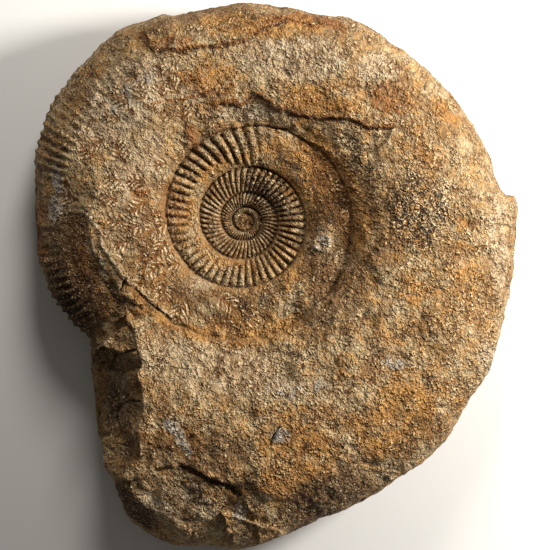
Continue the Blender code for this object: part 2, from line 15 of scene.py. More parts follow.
import bmesh
import bpy
import numpy as np
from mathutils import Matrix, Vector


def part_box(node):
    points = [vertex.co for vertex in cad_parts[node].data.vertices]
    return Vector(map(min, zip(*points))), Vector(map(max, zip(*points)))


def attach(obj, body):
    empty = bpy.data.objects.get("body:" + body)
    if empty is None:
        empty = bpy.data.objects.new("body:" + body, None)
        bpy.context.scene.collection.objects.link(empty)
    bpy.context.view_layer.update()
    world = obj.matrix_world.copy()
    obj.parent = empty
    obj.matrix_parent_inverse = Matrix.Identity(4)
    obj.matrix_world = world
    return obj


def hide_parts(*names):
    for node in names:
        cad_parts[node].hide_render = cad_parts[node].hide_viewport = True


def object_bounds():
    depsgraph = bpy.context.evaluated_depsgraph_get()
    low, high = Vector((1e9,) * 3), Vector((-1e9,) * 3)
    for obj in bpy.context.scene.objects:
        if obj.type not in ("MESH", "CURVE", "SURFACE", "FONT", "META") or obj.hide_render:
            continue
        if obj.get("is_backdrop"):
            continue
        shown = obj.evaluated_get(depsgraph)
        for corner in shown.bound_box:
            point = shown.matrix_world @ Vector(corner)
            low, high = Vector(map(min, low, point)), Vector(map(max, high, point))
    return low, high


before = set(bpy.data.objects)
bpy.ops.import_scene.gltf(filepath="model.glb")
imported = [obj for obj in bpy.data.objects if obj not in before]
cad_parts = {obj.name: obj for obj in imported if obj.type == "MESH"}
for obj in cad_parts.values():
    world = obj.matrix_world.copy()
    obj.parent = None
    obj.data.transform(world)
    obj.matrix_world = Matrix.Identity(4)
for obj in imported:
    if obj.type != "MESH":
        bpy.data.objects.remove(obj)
CAD_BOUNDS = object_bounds()

LOG = logging.getLogger("ammonite")
MM = 0.001
FULL_TURN = 360.0
HALF_TURN = 180.0
FAR_OUT = 99.0
NO_CRACK = 8.0
HASH_FACTORS = (374761393, 668265263, 2147483647)
HASH_SEED_FACTOR = 1274126177
CELL_JITTER = 0.42

Values = np.ndarray
Corners = tuple[tuple[float, float], ...]


# Plain fields that the relief and the stains are worked out from.


def smooth(low: float, high: float, value: Values) -> Values:
    """Rise from 0 at low to 1 at high, level at both ends."""
    share = np.clip((value - low) / (high - low), 0.0, 1.0)
    return share * share * (3.0 - 2.0 * share)


def window(start: float, end: float, fade: float, value: Values) -> Values:
    """Give 1 between start and end, falling to 0 over the fade outside them."""
    return smooth(start - fade, start, value) * (1.0 - smooth(end, end + fade, value))


def lattice_value(cell: Values, seed: int) -> Values:
    """Give each whole-number lattice point its own fixed value.

    Args:
        cell: whole numbers (3, N).
        seed: which set of values to draw from.

    Returns:
        Values (N,) from -1 to 1.
    """
    mixed = sum(part * factor for part, factor in zip(cell, HASH_FACTORS)) + seed * HASH_SEED_FACTOR
    mixed = (mixed ^ (mixed >> 13)) & 0xFFFFFFFF
    mixed = (mixed * HASH_SEED_FACTOR) & 0xFFFFFFFF
    mixed = mixed ^ (mixed >> 16)
    return (mixed & 0xFFFF) / 32767.5 - 1.0


def lumps(points: Values, size: float, seed: int) -> Values:
    """Give smooth lumpy noise.

    Args:
        points: places (3, N) in millimetres.
        size: the size of one lump.
        seed: which set of lumps.

    Returns:
        Values (N,) from -1 to 1.
    """
    scaled = points / size
    corner = np.floor(scaled).astype(np.int64)
    blend = scaled - corner
    blend = blend * blend * (3.0 - 2.0 * blend)
    total = np.zeros(points.shape[1])
    for step_x in (0, 1):
        for step_y in (0, 1):
            for step_z in (0, 1):
                step = np.array((step_x, step_y, step_z)).reshape(3, 1)
                weight = np.prod(np.where(step == 1, blend, 1.0 - blend), axis=0)
                total += weight * lattice_value(corner + step, seed)
    return total


def flat_lumps(x: Values, y: Values, size: float, seed: int) -> Values:
    """Give smooth lumpy noise over a plan, without regard to height.

    Args:
        x, y: places in millimetres.
        size: the size of one lump.
        seed: which set of lumps.

    Returns:
        Values from -1 to 1.
    """
    scaled_x, scaled_y = x / size, y / size
    corner_x, corner_y = np.floor(scaled_x).astype(np.int64), np.floor(scaled_y).astype(np.int64)
    blend_x, blend_y = scaled_x - corner_x, scaled_y - corner_y
    blend_x = blend_x * blend_x * (3.0 - 2.0 * blend_x)
    blend_y = blend_y * blend_y * (3.0 - 2.0 * blend_y)
    level = np.full(x.shape, seed, dtype=np.int64)
    total = np.zeros(x.shape)
    for step_x in (0, 1):
        for step_y in (0, 1):
            share = np.where(step_x, blend_x, 1.0 - blend_x) * np.where(step_y, blend_y, 1.0 - blend_y)
            total += share * lattice_value(np.stack((corner_x + step_x, corner_y + step_y, level)), seed)
    return total


def level_place(radius: Values, azimuth: Values) -> tuple[Values, Values]:
    """Give how far places lie from the coil's axis along X and Y."""
    angle = np.radians(azimuth)
    return radius * np.cos(angle), radius * np.sin(angle)


def rough_lumps(x: Values, y: Values, size: float, seed: int, grades: int = 3) -> Values:
    """Give plan noise of several grades, each half as large and half as strong as the last.

    Args:
        x, y: places in millimetres.
        size: the size of the largest lumps.
        seed: which set of lumps.
        grades: how many grades to add up.

    Returns:
        Values from about -1 to 1.
    """
    total = np.zeros(x.shape)
    for grade in range(grades):
        total += flat_lumps(x, y, size / 2.0 ** grade, seed + 7 * grade) / 2.0 ** grade
    return total / (2.0 - 0.5 ** (grades - 1))


def strayed(
    x: Values, y: Values, shift: float, size: float, seeds: tuple[int, int], grades: int
) -> tuple[Values, Values]:
    """Shift places by noise of several grades, so that straight edges come out ragged."""
    shift_x, shift_y = (shift * rough_lumps(x, y, size, seed, grades) for seed in seeds)
    return x + shift_x, y + shift_y


def cells(points: Values, size: float, seed: int) -> tuple[Values, Values, Values]:
    """Part space into irregular cells, as broken rock parts into blocks.

    Args:
        points: places (3, N) in millimetres.
        size: the size of one cell.
        seed: which set of cells.

    Returns:
        The distance to the nearest cell's middle, the one to the next, both as shares of the size,
        and the nearest cell's own value from -1 to 1.
    """
    scaled = points / size
    corner = np.floor(scaled).astype(np.int64)
    nearest = np.full(points.shape[1], FAR_OUT)
    second = np.full(points.shape[1], FAR_OUT)
    own = np.zeros(points.shape[1])
    for step_x in (-1, 0, 1):
        for step_y in (-1, 0, 1):
            for step_z in (-1, 0, 1):
                cell = corner + np.array((step_x, step_y, step_z)).reshape(3, 1)
                gap = np.zeros(points.shape[1])
                for axis in range(3):
                    middle = cell[axis] + 0.5 + CELL_JITTER * lattice_value(cell, seed + axis)
                    gap += (scaled[axis] - middle) ** 2
                gap = np.sqrt(gap)
                closer = gap < nearest
                second = np.where(closer, nearest, np.minimum(second, gap))
                own = np.where(closer, lattice_value(cell, seed + 5), own)
                nearest = np.where(closer, gap, nearest)
    return nearest, second, own


def near_track(track: Corners, reach: float, x: Values, y: Values) -> Values:
    """Tell which places lie in the box round a track, widened by a reach.

    Args:
        track: the track's points.
        reach: how much wider the box is on each side.
        x, y: places in millimetres.

    Returns:
        True for each place in the box.
    """
    points = np.array(track)
    low, high = points.min(axis=0) - reach, points.max(axis=0) + reach
    return (x > low[0]) & (x < high[0]) & (y > low[1]) & (y < high[1])


def side_gap(x: Values, y: Values, start: tuple[float, float], end: tuple[float, float]) -> Values:
    """Give the distance to a straight side.

    Args:
        x, y: places in millimetres.
        start: where the side starts.
        end: where it ends.

    Returns:
        The distance from each place to the side's nearest point.
    """
    run_x, run_y = end[0] - start[0], end[1] - start[1]
    along = ((x - start[0]) * run_x + (y - start[1]) * run_y) / (run_x ** 2 + run_y ** 2)
    along = np.clip(along, 0.0, 1.0)
    return np.hypot(x - start[0] - along * run_x, y - start[1] - along * run_y)


@dataclass(frozen=True)
class Region:
    """A patch of the upper flank with straight sides.

    Args:
        corners: its corners in order.
        reach: how far round it a distance is still worked out.
    """

    corners: Corners
    reach: float = 12.0

    def depth(self, x: Values, y: Values) -> Values:
        """Give the distance to the region's edge.

        Args:
            x, y: places in millimetres.

        Returns:
            The distance, positive inside and negative outside.
        """
        near = near_track(self.corners, self.reach, x, y)
        depth = np.full(x.shape, -self.reach)
        depth[near] = self._depth_near(x[near], y[near])
        return depth

    def _depth_near(self, x: Values, y: Values) -> Values:
        """Give the distance to the edge for places that are near the region.

        Args:
            x, y: places in millimetres.

        Returns:
            The distance, positive inside and negative outside.
        """
        nearest = np.full(x.shape, np.inf)
        inside = np.zeros(x.shape, dtype=bool)
        for (x0, y0), (x1, y1) in zip(self.corners, self.corners[1:] + self.corners[:1]):
            nearest = np.minimum(nearest, side_gap(x, y, (x0, y0), (x1, y1)))
            if y0 != y1:
                crosses = (y0 > y) != (y1 > y)
                inside ^= crosses & (x < x0 + (y - y0) * (x1 - x0) / (y1 - y0))
        return np.where(inside, nearest, -nearest)


@dataclass(frozen=True)
class Line:
    """A line on the upper flank, such as a crack or a ridge.

    Args:
        points: the points that it runs through.
        width: its width in millimetres.
        depth: how deep it is cut; a negative depth stands proud.
        reach: how far from it a distance is still worked out.
        wall_shares: where its walls start and end, as shares of its width.
    """

    points: Corners
    width: float = 0.8
    depth: float = 0.8
    reach: float = 8.0
    wall_shares: tuple[float, float] = (0.2, 0.8)

    def distance(self, x: Values, y: Values) -> Values:
        """Give how far each place is from the line, and no more than its reach.

        Args:
            x, y: places in millimetres.

        Returns:
            The distance in millimetres.
        """
        near = near_track(self.points, self.reach, x, y)
        nearest = np.full(x.shape, self.reach)
        for start, end in zip(self.points, self.points[1:]):
            nearest[near] = np.minimum(nearest[near], side_gap(x[near], y[near], start, end))
        return nearest

    def height(self, x: Values, y: Values) -> Values:
        """Give the height of the line's ridge, or less than 0 for a cut."""
        bottom, top = (share * self.width for share in self.wall_shares)
        return -self.depth * (1.0 - smooth(bottom, top, self.distance(x, y)))


@dataclass(frozen=True)
class Ledge:
    """A step along a line that dies away again behind it.

    Args:
        points: the points that it runs through, with the raised side on their right.
        step: how far it stands up.
        run: how far the step takes.
        fade: how far behind the line it has died away.
    """

    points: Corners
    step: float
    run: float
    fade: float

    def height(self, x: Values, y: Values) -> Values:
        """Give the ledge's height.

        Args:
            x, y: places in millimetres.

        Returns:
            The height in millimetres.
        """
        nearest = np.full(x.shape, self.fade)
        raised = np.zeros(x.shape, dtype=bool)
        for (x0, y0), (x1, y1) in zip(self.points, self.points[1:]):
            gap = side_gap(x, y, (x0, y0), (x1, y1))
            closer = gap < nearest
            raised = np.where(closer, (x1 - x0) * (y - y0) - (y1 - y0) * (x - x0) < 0.0, raised)
            nearest = np.where(closer, gap, nearest)
        rise = smooth(0.0, self.run, nearest) * (1.0 - smooth(self.run, self.fade, nearest))
        return self.step * np.where(raised, rise, 0.0)


@dataclass(frozen=True)
class Patch:
    """An oval patch with soft edges.

    Args:
        x, y: its middle.
        long: half its length.
        wide: half its width.
        strength: its weight at its middle.
        tilt: the direction of its length, in degrees anticlockwise from +X.
        edge: where its edge starts to fade and where it is gone, as shares of its half sizes.
    """

    x: float
    y: float
    long: float
    wide: float
    strength: float = 1.0
    tilt: float = 0.0
    edge: tuple[float, float] = (0.55, 1.25)

    def weight(self, x: Values, y: Values) -> Values:
        """Give the patch's weight, which is its strength inside and falls to 0 outside.

        Args:
            x, y: places in millimetres.

        Returns:
            The weight at each place.
        """
        cosine, sine = math.cos(math.radians(self.tilt)), math.sin(math.radians(self.tilt))
        along = ((x - self.x) * cosine + (y - self.y) * sine) / self.long
        across = ((y - self.y) * cosine - (x - self.x) * sine) / self.wide
        return self.strength * (1.0 - smooth(*self.edge, np.hypot(along, across)))


# Edges that both the relief and the stains follow.

SHADE_DROP = 0.7
TOP_EDGE: Corners = (
    (-60.0, 106.0), (-55.0, 99.0), (-42.0, 98.0), (-35.5, 100.0), (-24.5, 99.5), (-14.0, 103.0),
    (-5.5, 108.5), (4.5, 112.0), (17.0, 109.0), (24.0, 111.0),
)
WORN_EDGE: Corners = (
    (-27.0, 74.5), (-19.0, 76.0), (-16.5, 73.5), (-8.5, 79.0), (2.0, 73.0), (7.5, 70.0), (18.0, 68.0),
    (31.0, 68.5), (40.0, 64.0), (51.5, 64.5),
)
STRIP_RIDGE: Corners = (
    (-85.7, 26.9), (-82.2, 24.7), (-78.5, 18.8), (-75.8, 10.8), (-71.7, 5.3), (-66.7, -2.0),
    (-60.1, -7.3), (-52.8, -14.1), (-46.1, -19.5),
)


def shaded(track: Corners) -> Corners:
    """Give the line just below a track, where the step along it is shaded."""
    return tuple((x, y - SHADE_DROP) for x, y in track)


# The shell's form.


@dataclass(frozen=True)
class Coil:
    """The spiral that the whorls and their seams follow."""

    axis_x: float = -14.5
    axis_y: float = 23.1
    growth: float = 0.001578
    core_growth: float = 0.0019
    core_turn: float = -270.0
    seam: float = 26.25
    seam_offset: float = 0.045
    seam_offset_azimuth: float = 120.0
    innermost: float = 0.5
    last_turn_end: float = 184.0
    flare: float = 0.10
    flare_start: float = 506.0
    flare_end: float = 542.0

    def radius(self, x: Values, y: Values) -> Values:
        """Give the distance from the coil's axis."""
        return np.hypot(x - self.axis_x, y - self.axis_y)

    def azimuth(self, x: Values, y: Values) -> Values:
        """Give the azimuth from the coil's axis, clockwise from +X."""
        return np.mod(np.degrees(np.arctan2(self.axis_y - y, x - self.axis_x)), FULL_TURN)

    def seam_shift(self, azimuth: Values) -> Values:
        """Give the factor by which the seams lie off the coil's centre."""
        return 1.0 - self.seam_offset * np.cos(np.radians(azimuth - self.seam_offset_azimuth))

    def seam_radius(self, turn: Values) -> Values:
        """Give the radius of the seam at a whorl's inner edge, at a growth angle.

        Args:
            turn: growth angles in degrees.

        Returns:
            The radius in millimetres.
        """
        flare = 1.0 + self.flare * smooth(self.flare_start, self.flare_end, turn)
        core = np.minimum(turn - self.core_turn, 0.0) * (self.core_growth - self.growth)
        return self.seam * np.exp(self.growth * turn + core) * self.seam_shift(turn) * flare

    def whorl(self, radius: Values, azimuth: Values) -> Values:
        """Count the turns between the seam at growth angle 0 and the whorl that shows there.

        Args:
            radius, azimuth: places round the coil's axis.

        Returns:
            The count, at most 1, and less than 0 on the inner whorls.
        """
        grown = np.log(np.maximum(radius, self.innermost) / (self.seam * self.seam_shift(azimuth)))
        core = np.minimum(grown - self.growth * self.core_turn, 0.0)
        turn = (grown - core) / self.growth + core / self.core_growth
        newest = np.where(azimuth < self.last_turn_end, 1.0, 0.0)
        return np.minimum(np.floor((turn - azimuth) / FULL_TURN), newest)

    def turn(self, radius: Values, azimuth: Values) -> Values:
        """Give the growth angle of the whorl that shows at each place."""
        return azimuth + FULL_TURN * self.whorl(radius, azimuth)


@dataclass(frozen=True)
class Outline:
    """The outer edge seen from above, round its chips and bumps."""

    knots: Corners = (
        (0, 120.2), (12, 120.7), (24, 123.8), (40, 128.6), (60, 133.3), (76, 136.1), (82, 139.7),
        (89, 143.6), (97, 145.2), (104, 146.7), (109, 143.6), (113, 137.9), (116, 130.4), (120, 124.2),
        (124, 115.2), (131, 102.6), (137, 93.3), (142, 86.4), (150, 88.2), (160, 91.0), (170, 92.6),
        (180, 92.8), (190, 94.1), (200, 98.1), (216, 99.7), (236, 100.6), (247, 99.2), (252, 95.9),
        (260, 94.8), (275, 97.0), (290, 97.7), (299, 101.7), (320, 104.9), (338, 109.4), (350, 114.0),
        (353.5, 116.4), (356.5, 120.9),
    )

    def radius(self, azimuth: Values) -> Values:
        """Give the outer edge's radius from the coil's axis, on a curve through the knots.

        Args:
            azimuth: azimuths in degrees.

        Returns:
            The radius in millimetres.
        """
        knots = np.array(self.knots, dtype=float)
        angle = np.concatenate((knots[-2:, 0] - FULL_TURN, knots[:, 0], knots[:3, 0] + FULL_TURN))
        radius = np.concatenate((knots[-2:, 1], knots[:, 1], knots[:3, 1]))
        turn = np.mod(azimuth, FULL_TURN)
        index = np.clip(np.searchsorted(angle, turn, side="right") - 1, 1, len(angle) - 3)
        gap = angle[index + 1] - angle[index]
        share = (turn - angle[index]) / gap
        slope_0 = (radius[index + 1] - radius[index - 1]) / (angle[index + 1] - angle[index - 1]) * gap
        slope_1 = (radius[index + 2] - radius[index]) / (angle[index + 2] - angle[index]) * gap
        square, cube = share ** 2, share ** 3
        return (
            (2 * cube - 3 * square + 1) * radius[index]
            + (cube - 2 * square + share) * slope_0
            + (3 * square - 2 * cube) * radius[index + 1]
            + (cube - square) * slope_1
        )


@dataclass(frozen=True)
class Mouth:
    """The broken mouth of the last whorl: its upper rim, its slope and its foot."""

    rim: Corners = (
        (-100.0, -68.0), (-88.0, -68.0), (-84.0, -65.0), (-80.0, -60.5), (-69.0, -61.0), (-61.0, -59.0),
        (-52.0, -59.0), (-43.0, -61.5), (-39.0, -59.0), (-27.5, -62.0), (-18.0, -66.0), (-11.5, -67.0),
        (-2.0, -74.0), (3.0, -78.0), (12.0, -82.0), (17.5, -83.5), (26.5, -86.5),
    )
    slope: float = 1.8
    lip: float = 1.6
    lip_run: float = 0.8
    under_near: float = 4.0
    under_far: float = 22.0
    under_low: float = -32.0
    under_high: float = -14.0
    blocks: tuple[tuple[Region, float, float], ...] = (
        (Region((
            (-82.0, -28.0), (-76.5, -26.0), (-69.0, -22.5), (-62.0, -20.5), (-58.0, -32.0), (-59.0, -41.0),
            (-63.0, -40.0), (-66.5, -35.5), (-71.5, -36.5), (-76.0, -35.0), (-82.0, -37.5),
        )), 1.5, 0.20),
        (Region((
            (-82.0, -72.0), (-77.0, -71.5), (-68.0, -71.5), (-63.0, -76.0), (-56.0, -76.0), (-60.0, -92.0),
            (-76.0, -90.0),
        )), 6.0, 0.90),
    )
    block_run: float = 2.6
    jag_size: float = 5.0
    jag: float = 0.9

    def beyond(self, x: Values, y: Values, upper: Values) -> Values:
        """Give how far a point lies out beyond the mouth's rim.

        Args:
            x, y: places in millimetres.
            upper: whether each place is on the upper side; the lower rim lies further out.

        Returns:
            The distance, and 0 for what is still whole.
        """
        levels = [point[0] for point in self.rim]
        edges = [point[1] for point in self.rim]
        slant = smooth(self.under_low, self.under_high, y)
        slant = self.under_far - (self.under_far - self.under_near) * slant
        jag = self.jag * rough_lumps(x, y, self.jag_size, 41)
        return np.maximum(np.interp(y, levels, edges) + jag - np.where(upper, 0.0, slant) - x, 0.0)

    def drop(self, x: Values, y: Values, upper: Values) -> Values:
        """Give how far the break lies below the whorl's own level.

        Args:
            x, y: places in millimetres.
            upper: whether each place is on the upper side.

        Returns:
            The drop, less where a block still stands.
        """
        beyond = self.beyond(x, y, upper)
        drop = self.slope * beyond + self.lip * smooth(0.0, self.lip_run, beyond)
        for block, start, slope in self.blocks:
            standing = smooth(0.0, self.block_run, block.depth(x, y)) * upper
            drop = drop + standing * np.minimum(start + slope * beyond - drop, 0.0)
        return drop


@dataclass(frozen=True)
class Whorls:
    """The whorls' cross-sections, one over another, with the last one broken off at its mouth."""

    coil: Coil = Coil()
    outline: Outline = Outline()
    mouth: Mouth = Mouth()
    half_breadth: float = 27.0
    half_breadth_turn: float = 360.0
    breadth_growth: float = 0.0012
    core_half_breadth: float = 2.6
    underside_wear: float = 0.20
    wear_start: float = 150.0
    wear_end: float = 500.0
    seam_level: float = 0.68
    shoulder_share: float = 0.38
    gentle_shoulder: float = 0.42
    gentle_start: float = 415.0
    gentle_full: float = 465.0
    shoulder_power: float = 0.85
    edge_share: float = 0.60
    edge_power: float = 2.2
    covered_ratio: float = 2.6
    outer_radius: float = 92.8
    outer_azimuth: float = 180.0
    uncovered_turn: float = 100.0
    lost_start: float = 86.0
    lost_end: float = 142.0
    lost_fade: float = 8.0
    lost_least: float = 2.0
    strip_start: float = 124.0
    strip_full: float = 140.0
    strip_height: float = 1.3
    strip_fall: float = 0.22
    strip_width: float = 7.0
    strip_fade: float = 6.0
    bare_start: float = 144.0
    bare_full: float = 152.0
    taper_start: float = 170.0
    taper_end: float = 184.0
    no_whorl: float = -24.0
    edge_margin: float = 1.0001

    def rounded(self, share: Values) -> Values:
        """Rise steeply from 0 and level off at share 1, as a rounded rim does."""
        inward = 1.0 - np.clip(share, 0.0, 1.0)
        return (1.0 - inward ** self.edge_power) ** (1.0 / self.edge_power)

    def edge(self, azimuth: Values, whorl: Values, inner: Values) -> Values:
        """Give a whorl's outer radius: the outline where it shows, or the whole shell's elsewhere.

        Args:
            azimuth: azimuths in degrees.
            whorl: the whorl's number.
            inner: the radius of its inner seam.

        Returns:
            The radius in millimetres.
        """
        turn = azimuth + FULL_TURN * whorl
        growth = np.exp(self.coil.growth * (turn - self.outer_azimuth))
        whole = np.where(turn < self.uncovered_turn, inner * self.covered_ratio, self.outer_radius * growth)
        lost = smooth(self.lost_start - self.lost_fade, self.lost_start, azimuth)
        lost = lost * (1.0 - smooth(self.lost_end - 1.0, self.lost_end, azimuth))
        shown = self.outline.radius(azimuth)
        outermost = whorl == np.where(azimuth < self.lost_end, 1.0, 0.0)
        return np.where(outermost, shown + lost * np.maximum(whole - shown, self.lost_least), whole)

    def flank(self, radius: Values, azimuth: Values, whorl: Values, upper: Values) -> Values:
        """Give how far one whorl's flank lies from the mid-plane, and a deep level beyond its edge.

        Args:
            radius, azimuth: places round the coil's axis.
            whorl: the whorl's number.
            upper: whether each place is on the upper side.

        Returns:
            The distance in millimetres.
        """
        turn = azimuth + FULL_TURN * whorl
        inner = self.coil.seam_radius(turn)
        share = (radius - inner) / (self.edge(azimuth, whorl, inner) - inner)
        gentle = smooth(self.gentle_start, self.gentle_full, turn)
        run = self.shoulder_share + (self.gentle_shoulder - self.shoulder_share) * gentle
        shoulder = np.sin(0.5 * np.pi * np.clip(share / run, 0.0, 1.0))
        wall = self.seam_level + (1.0 - self.seam_level) * shoulder ** self.shoulder_power
        breadth = self.half_breadth * np.exp(self.breadth_growth * (turn - self.half_breadth_turn))
        wear = 1.0 - self.underside_wear * smooth(self.wear_start, self.wear_end, turn)
        breadth = np.hypot(breadth * np.where(upper, 1.0, wear), self.core_half_breadth)
        level = breadth * wall * self.rounded((1.0 - share) / self.edge_share)
        return np.where(share <= self.edge_margin, level, self.no_whorl)

    def level(self, x: Values, y: Values, radius: Values, azimuth: Values, upper: Values) -> Values:
        """Give the level of the whorls together over or under the mid-plane.

        Args:
            x, y: places in millimetres.
            radius, azimuth: the same places round the coil's axis.
            upper: whether each place is on the upper side.

        Returns:
            The distance from the mid-plane in millimetres.
        """
        whorl = self.coil.whorl(radius, azimuth)
        drop = self.mouth.drop(x, y, upper)
        newer = self.flank(radius, azimuth, whorl, upper)
        older = self.flank(radius, azimuth, whorl - 1.0, upper)
        strip = smooth(self.strip_start, self.strip_full, azimuth)
        height = self.strip_height * (1.0 - smooth(self.taper_start, self.taper_end, azimuth))
        inner = self.coil.seam_radius(azimuth + FULL_TURN)
        past = np.maximum(radius - inner, 0.0)
        low = older + height - self.strip_fall * past
        narrow = 1.0 - smooth(self.strip_width, self.strip_width + self.strip_fade, past)
        strip = strip * np.maximum(narrow, smooth(self.bare_start, self.bare_full, azimuth))
        newer = newer + np.where(whorl == 1.0, strip * (low - newer) - drop, 0.0)
        return np.maximum(newer, older)


@dataclass(frozen=True)
class Ribs:
    """The strong ribs of the inner whorls and the finer ribs that run over the outer edge."""

    coil: Coil = Coil()
    inner_count: float = 50.0
    inner_growth: float = 1.0
    inner_height: float = 0.046
    inner_height_start: float = 4.0
    nucleus: float = 3.5
    inner_curve: float = 1.2
    inner_sharpness: float = 1.9
    inner_floor: float = 0.55
    core_lean: float = 5.0
    late_lean: float = -9.0
    late_start: float = -190.0
    late_end: float = -110.0
    core_start: float = -470.0
    core_end: float = -380.0
    inner_rise: float = 0.14
    rise_run: float = 0.14
    infilled_rise: float = 0.42
    infilled_start: float = -250.0
    infilled_end: float = -120.0
    infilled_fade: float = 30.0
    inner_fall: float = 0.90
    inner_fall_depth: float = 0.6
    inner_end: float = -96.0
    inner_gone: float = -66.0
    uneven_size: float = 3.6
    uneven: float = 0.75
    uneven_start: float = 8.0
    uneven_full: float = 20.0
    weak_start: float = -255.0
    weak_end: float = -172.0
    weak_fade: float = 25.0
    weak: float = 0.15
    rim_count: float = 146.0
    rim_lean: float = 5.0
    rim_height: float = 1.2
    rim_inside: float = 77.0
    rim_outside: float = 84.0
    rim_strengths: Corners = (
        (138.0, 0.0), (148.0, 1.0), (164.0, 1.0), (172.0, 0.15), (188.0, 0.15), (195.0, 0.6), (215.0, 0.6),
        (250.0, 0.0),
    )
    rim_sharpness: float = 2.0
    rim_floor: float = 0.35
    patchy_size: float = 8.0
    patchy: float = 0.7
    patchy_most: float = 1.3

    def inner_crest(self, radius: Values, azimuth: Values) -> tuple[Values, Values]:
        """Give where the inner ribs' crests are, and how strong the ribs are.

        Args:
            radius, azimuth: places round the coil's axis.

        Returns:
            The crest's share from 0 in a groove to 1 on a rib, and the ribs' strength from 0 to 1.
        """
        turn = self.coil.turn(radius, azimuth)
        inner = self.coil.seam_radius(turn)
        width = self.coil.seam_radius(turn + FULL_TURN) - inner
        across = np.clip((radius - inner) / width, 0.0, 1.0)
        lean = self.core_lean * (1.0 - smooth(self.core_start, self.core_end, turn))
        lean = lean + self.late_lean * smooth(self.late_start, self.late_end, turn)
        forward = turn - lean * across ** self.inner_curve
        count = self.inner_count + self.inner_growth * (forward / FULL_TURN + 0.5)
        groove = 0.5 - 0.5 * np.cos(2.0 * np.pi * forward * count / FULL_TURN)
        fall = 1.0 - self.inner_fall_depth * smooth(self.inner_fall, 1.0, across)
        infill = window(self.infilled_start, self.infilled_end, self.infilled_fade, turn)
        rise = self.inner_rise + (self.infilled_rise - self.inner_rise) * infill
        reach = smooth(rise - self.rise_run, rise, across) * fall
        fade = 1.0 - smooth(self.inner_end, self.inner_gone, turn)
        fade = fade * smooth(self.nucleus, self.nucleus + 1.0, radius)
        fade = fade * (1.0 - self.weak * window(self.weak_start, self.weak_end, self.weak_fade, turn))
        return 1.0 - groove ** self.inner_sharpness, reach * fade

    def inner(self, radius: Values, azimuth: Values) -> Values:
        """Give the height of the ribs that cross the inner whorls.

        Args:
            radius, azimuth: places round the coil's axis.

        Returns:
            The height in millimetres, less than 0 between ribs.
        """
        crest, strength = self.inner_crest(radius, azimuth)
        spots = flat_lumps(radius, azimuth * radius * math.pi / HALF_TURN, self.uneven_size, 29)
        uneven = 1.0 + self.uneven * spots * smooth(self.uneven_start, self.uneven_full, radius)
        height = self.inner_height * (radius + self.inner_height_start)
        return height * (crest - self.inner_floor) * strength * uneven

    def rim_reach(self, radius: Values, azimuth: Values) -> Values:
        """Give how strong the rim's ribs are.

        Args:
            radius, azimuth: places round the coil's axis.

        Returns:
            The strength, from 0 to a little over 1.
        """
        strengths = np.array(self.rim_strengths)
        reach = smooth(self.rim_inside, self.rim_outside, radius)
        reach = reach * np.interp(azimuth, strengths[:, 0], strengths[:, 1])
        spots = flat_lumps(radius, azimuth * self.rim_inside * math.pi / HALF_TURN, self.patchy_size, 19)
        return reach * np.clip(1.0 + self.patchy * spots, 0.0, self.patchy_most)

    def rim_wave(self, radius: Values, azimuth: Values) -> Values:
        """Give the share from 0 in a groove between two of the rim's ribs to 1 on a rib.

        Args:
            radius, azimuth: places round the coil's axis.

        Returns:
            The share.
        """
        forward = azimuth - self.rim_lean * (radius / self.rim_inside - 1.0)
        wave = 0.5 + 0.5 * np.cos(2.0 * np.pi * forward * self.rim_count / FULL_TURN)
        return wave ** self.rim_sharpness

    def rim(self, radius: Values, azimuth: Values) -> Values:
        """Give the height of the finer ribs that run over the outer edge."""
        crest = self.rim_wave(radius, azimuth) - self.rim_floor
        return self.rim_height * self.rim_reach(radius, azimuth) * crest


@dataclass(frozen=True)
class Seams:
    """The crevices where one whorl meets the next."""

    coil: Coil = Coil()
    depth: float = 0.6
    width: float = 0.8
    start: float = 3.0
    end: float = 405.0
    gone: float = 450.0
    back_start: float = 454.0
    back_end: float = 512.0
    back_fade: float = 6.0
    waver_size: float = 4.5
    waver: float = 0.7
    waver_start: float = 26.0
    waver_full: float = 40.0
    crumb_size: float = 6.0
    crumb: float = 1.2
    crumb_near: float = 3.0
    crumb_far: float = 12.0

    def gap(self, radius: Values, azimuth: Values) -> Values:
        """Give how far the nearest crevice is, and far from it where the whorls are joined smoothly.

        Args:
            radius, azimuth: places round the coil's axis.

        Returns:
            The distance in millimetres.
        """
        shift = flat_lumps(*level_place(radius, azimuth), self.waver_size, 37)
        shift = self.waver * shift * smooth(self.waver_start, self.waver_full, radius)
        turn = self.coil.turn(radius + shift, azimuth)
        gap = FAR_OUT * (1.0 - smooth(self.start, self.start + 1.0, radius))
        seams = [
            np.abs(radius + shift - self.coil.seam_radius(seam)) + FAR_OUT * self.hidden(seam)
            for seam in (turn, turn + FULL_TURN)
        ]
        return gap + np.minimum(*seams)

    def hidden(self, seam: Values) -> Values:
        """Give how far each seam is hidden: the newest one comes back for a short way."""
        back = window(self.back_start, self.back_end, self.back_fade, seam)
        return smooth(self.end, self.gone, seam) * (1.0 - back)

    def height(self, radius: Values, azimuth: Values) -> Values:
        """Give how far the crevices are cut in, and the crumbs beside the newest one.

        Args:
            radius, azimuth: places round the coil's axis.

        Returns:
            The height in millimetres, less than 0 in a crevice.
        """
        gap = self.gap(radius, azimuth)
        crumbs = rough_lumps(*level_place(radius, azimuth), self.crumb_size, 43)
        near = smooth(self.waver_start, self.waver_full, radius)
        near = near * (1.0 - smooth(self.crumb_near, self.crumb_far, gap))
        return self.crumb * crumbs * near - self.depth * (1.0 - smooth(0.0, self.width, gap))


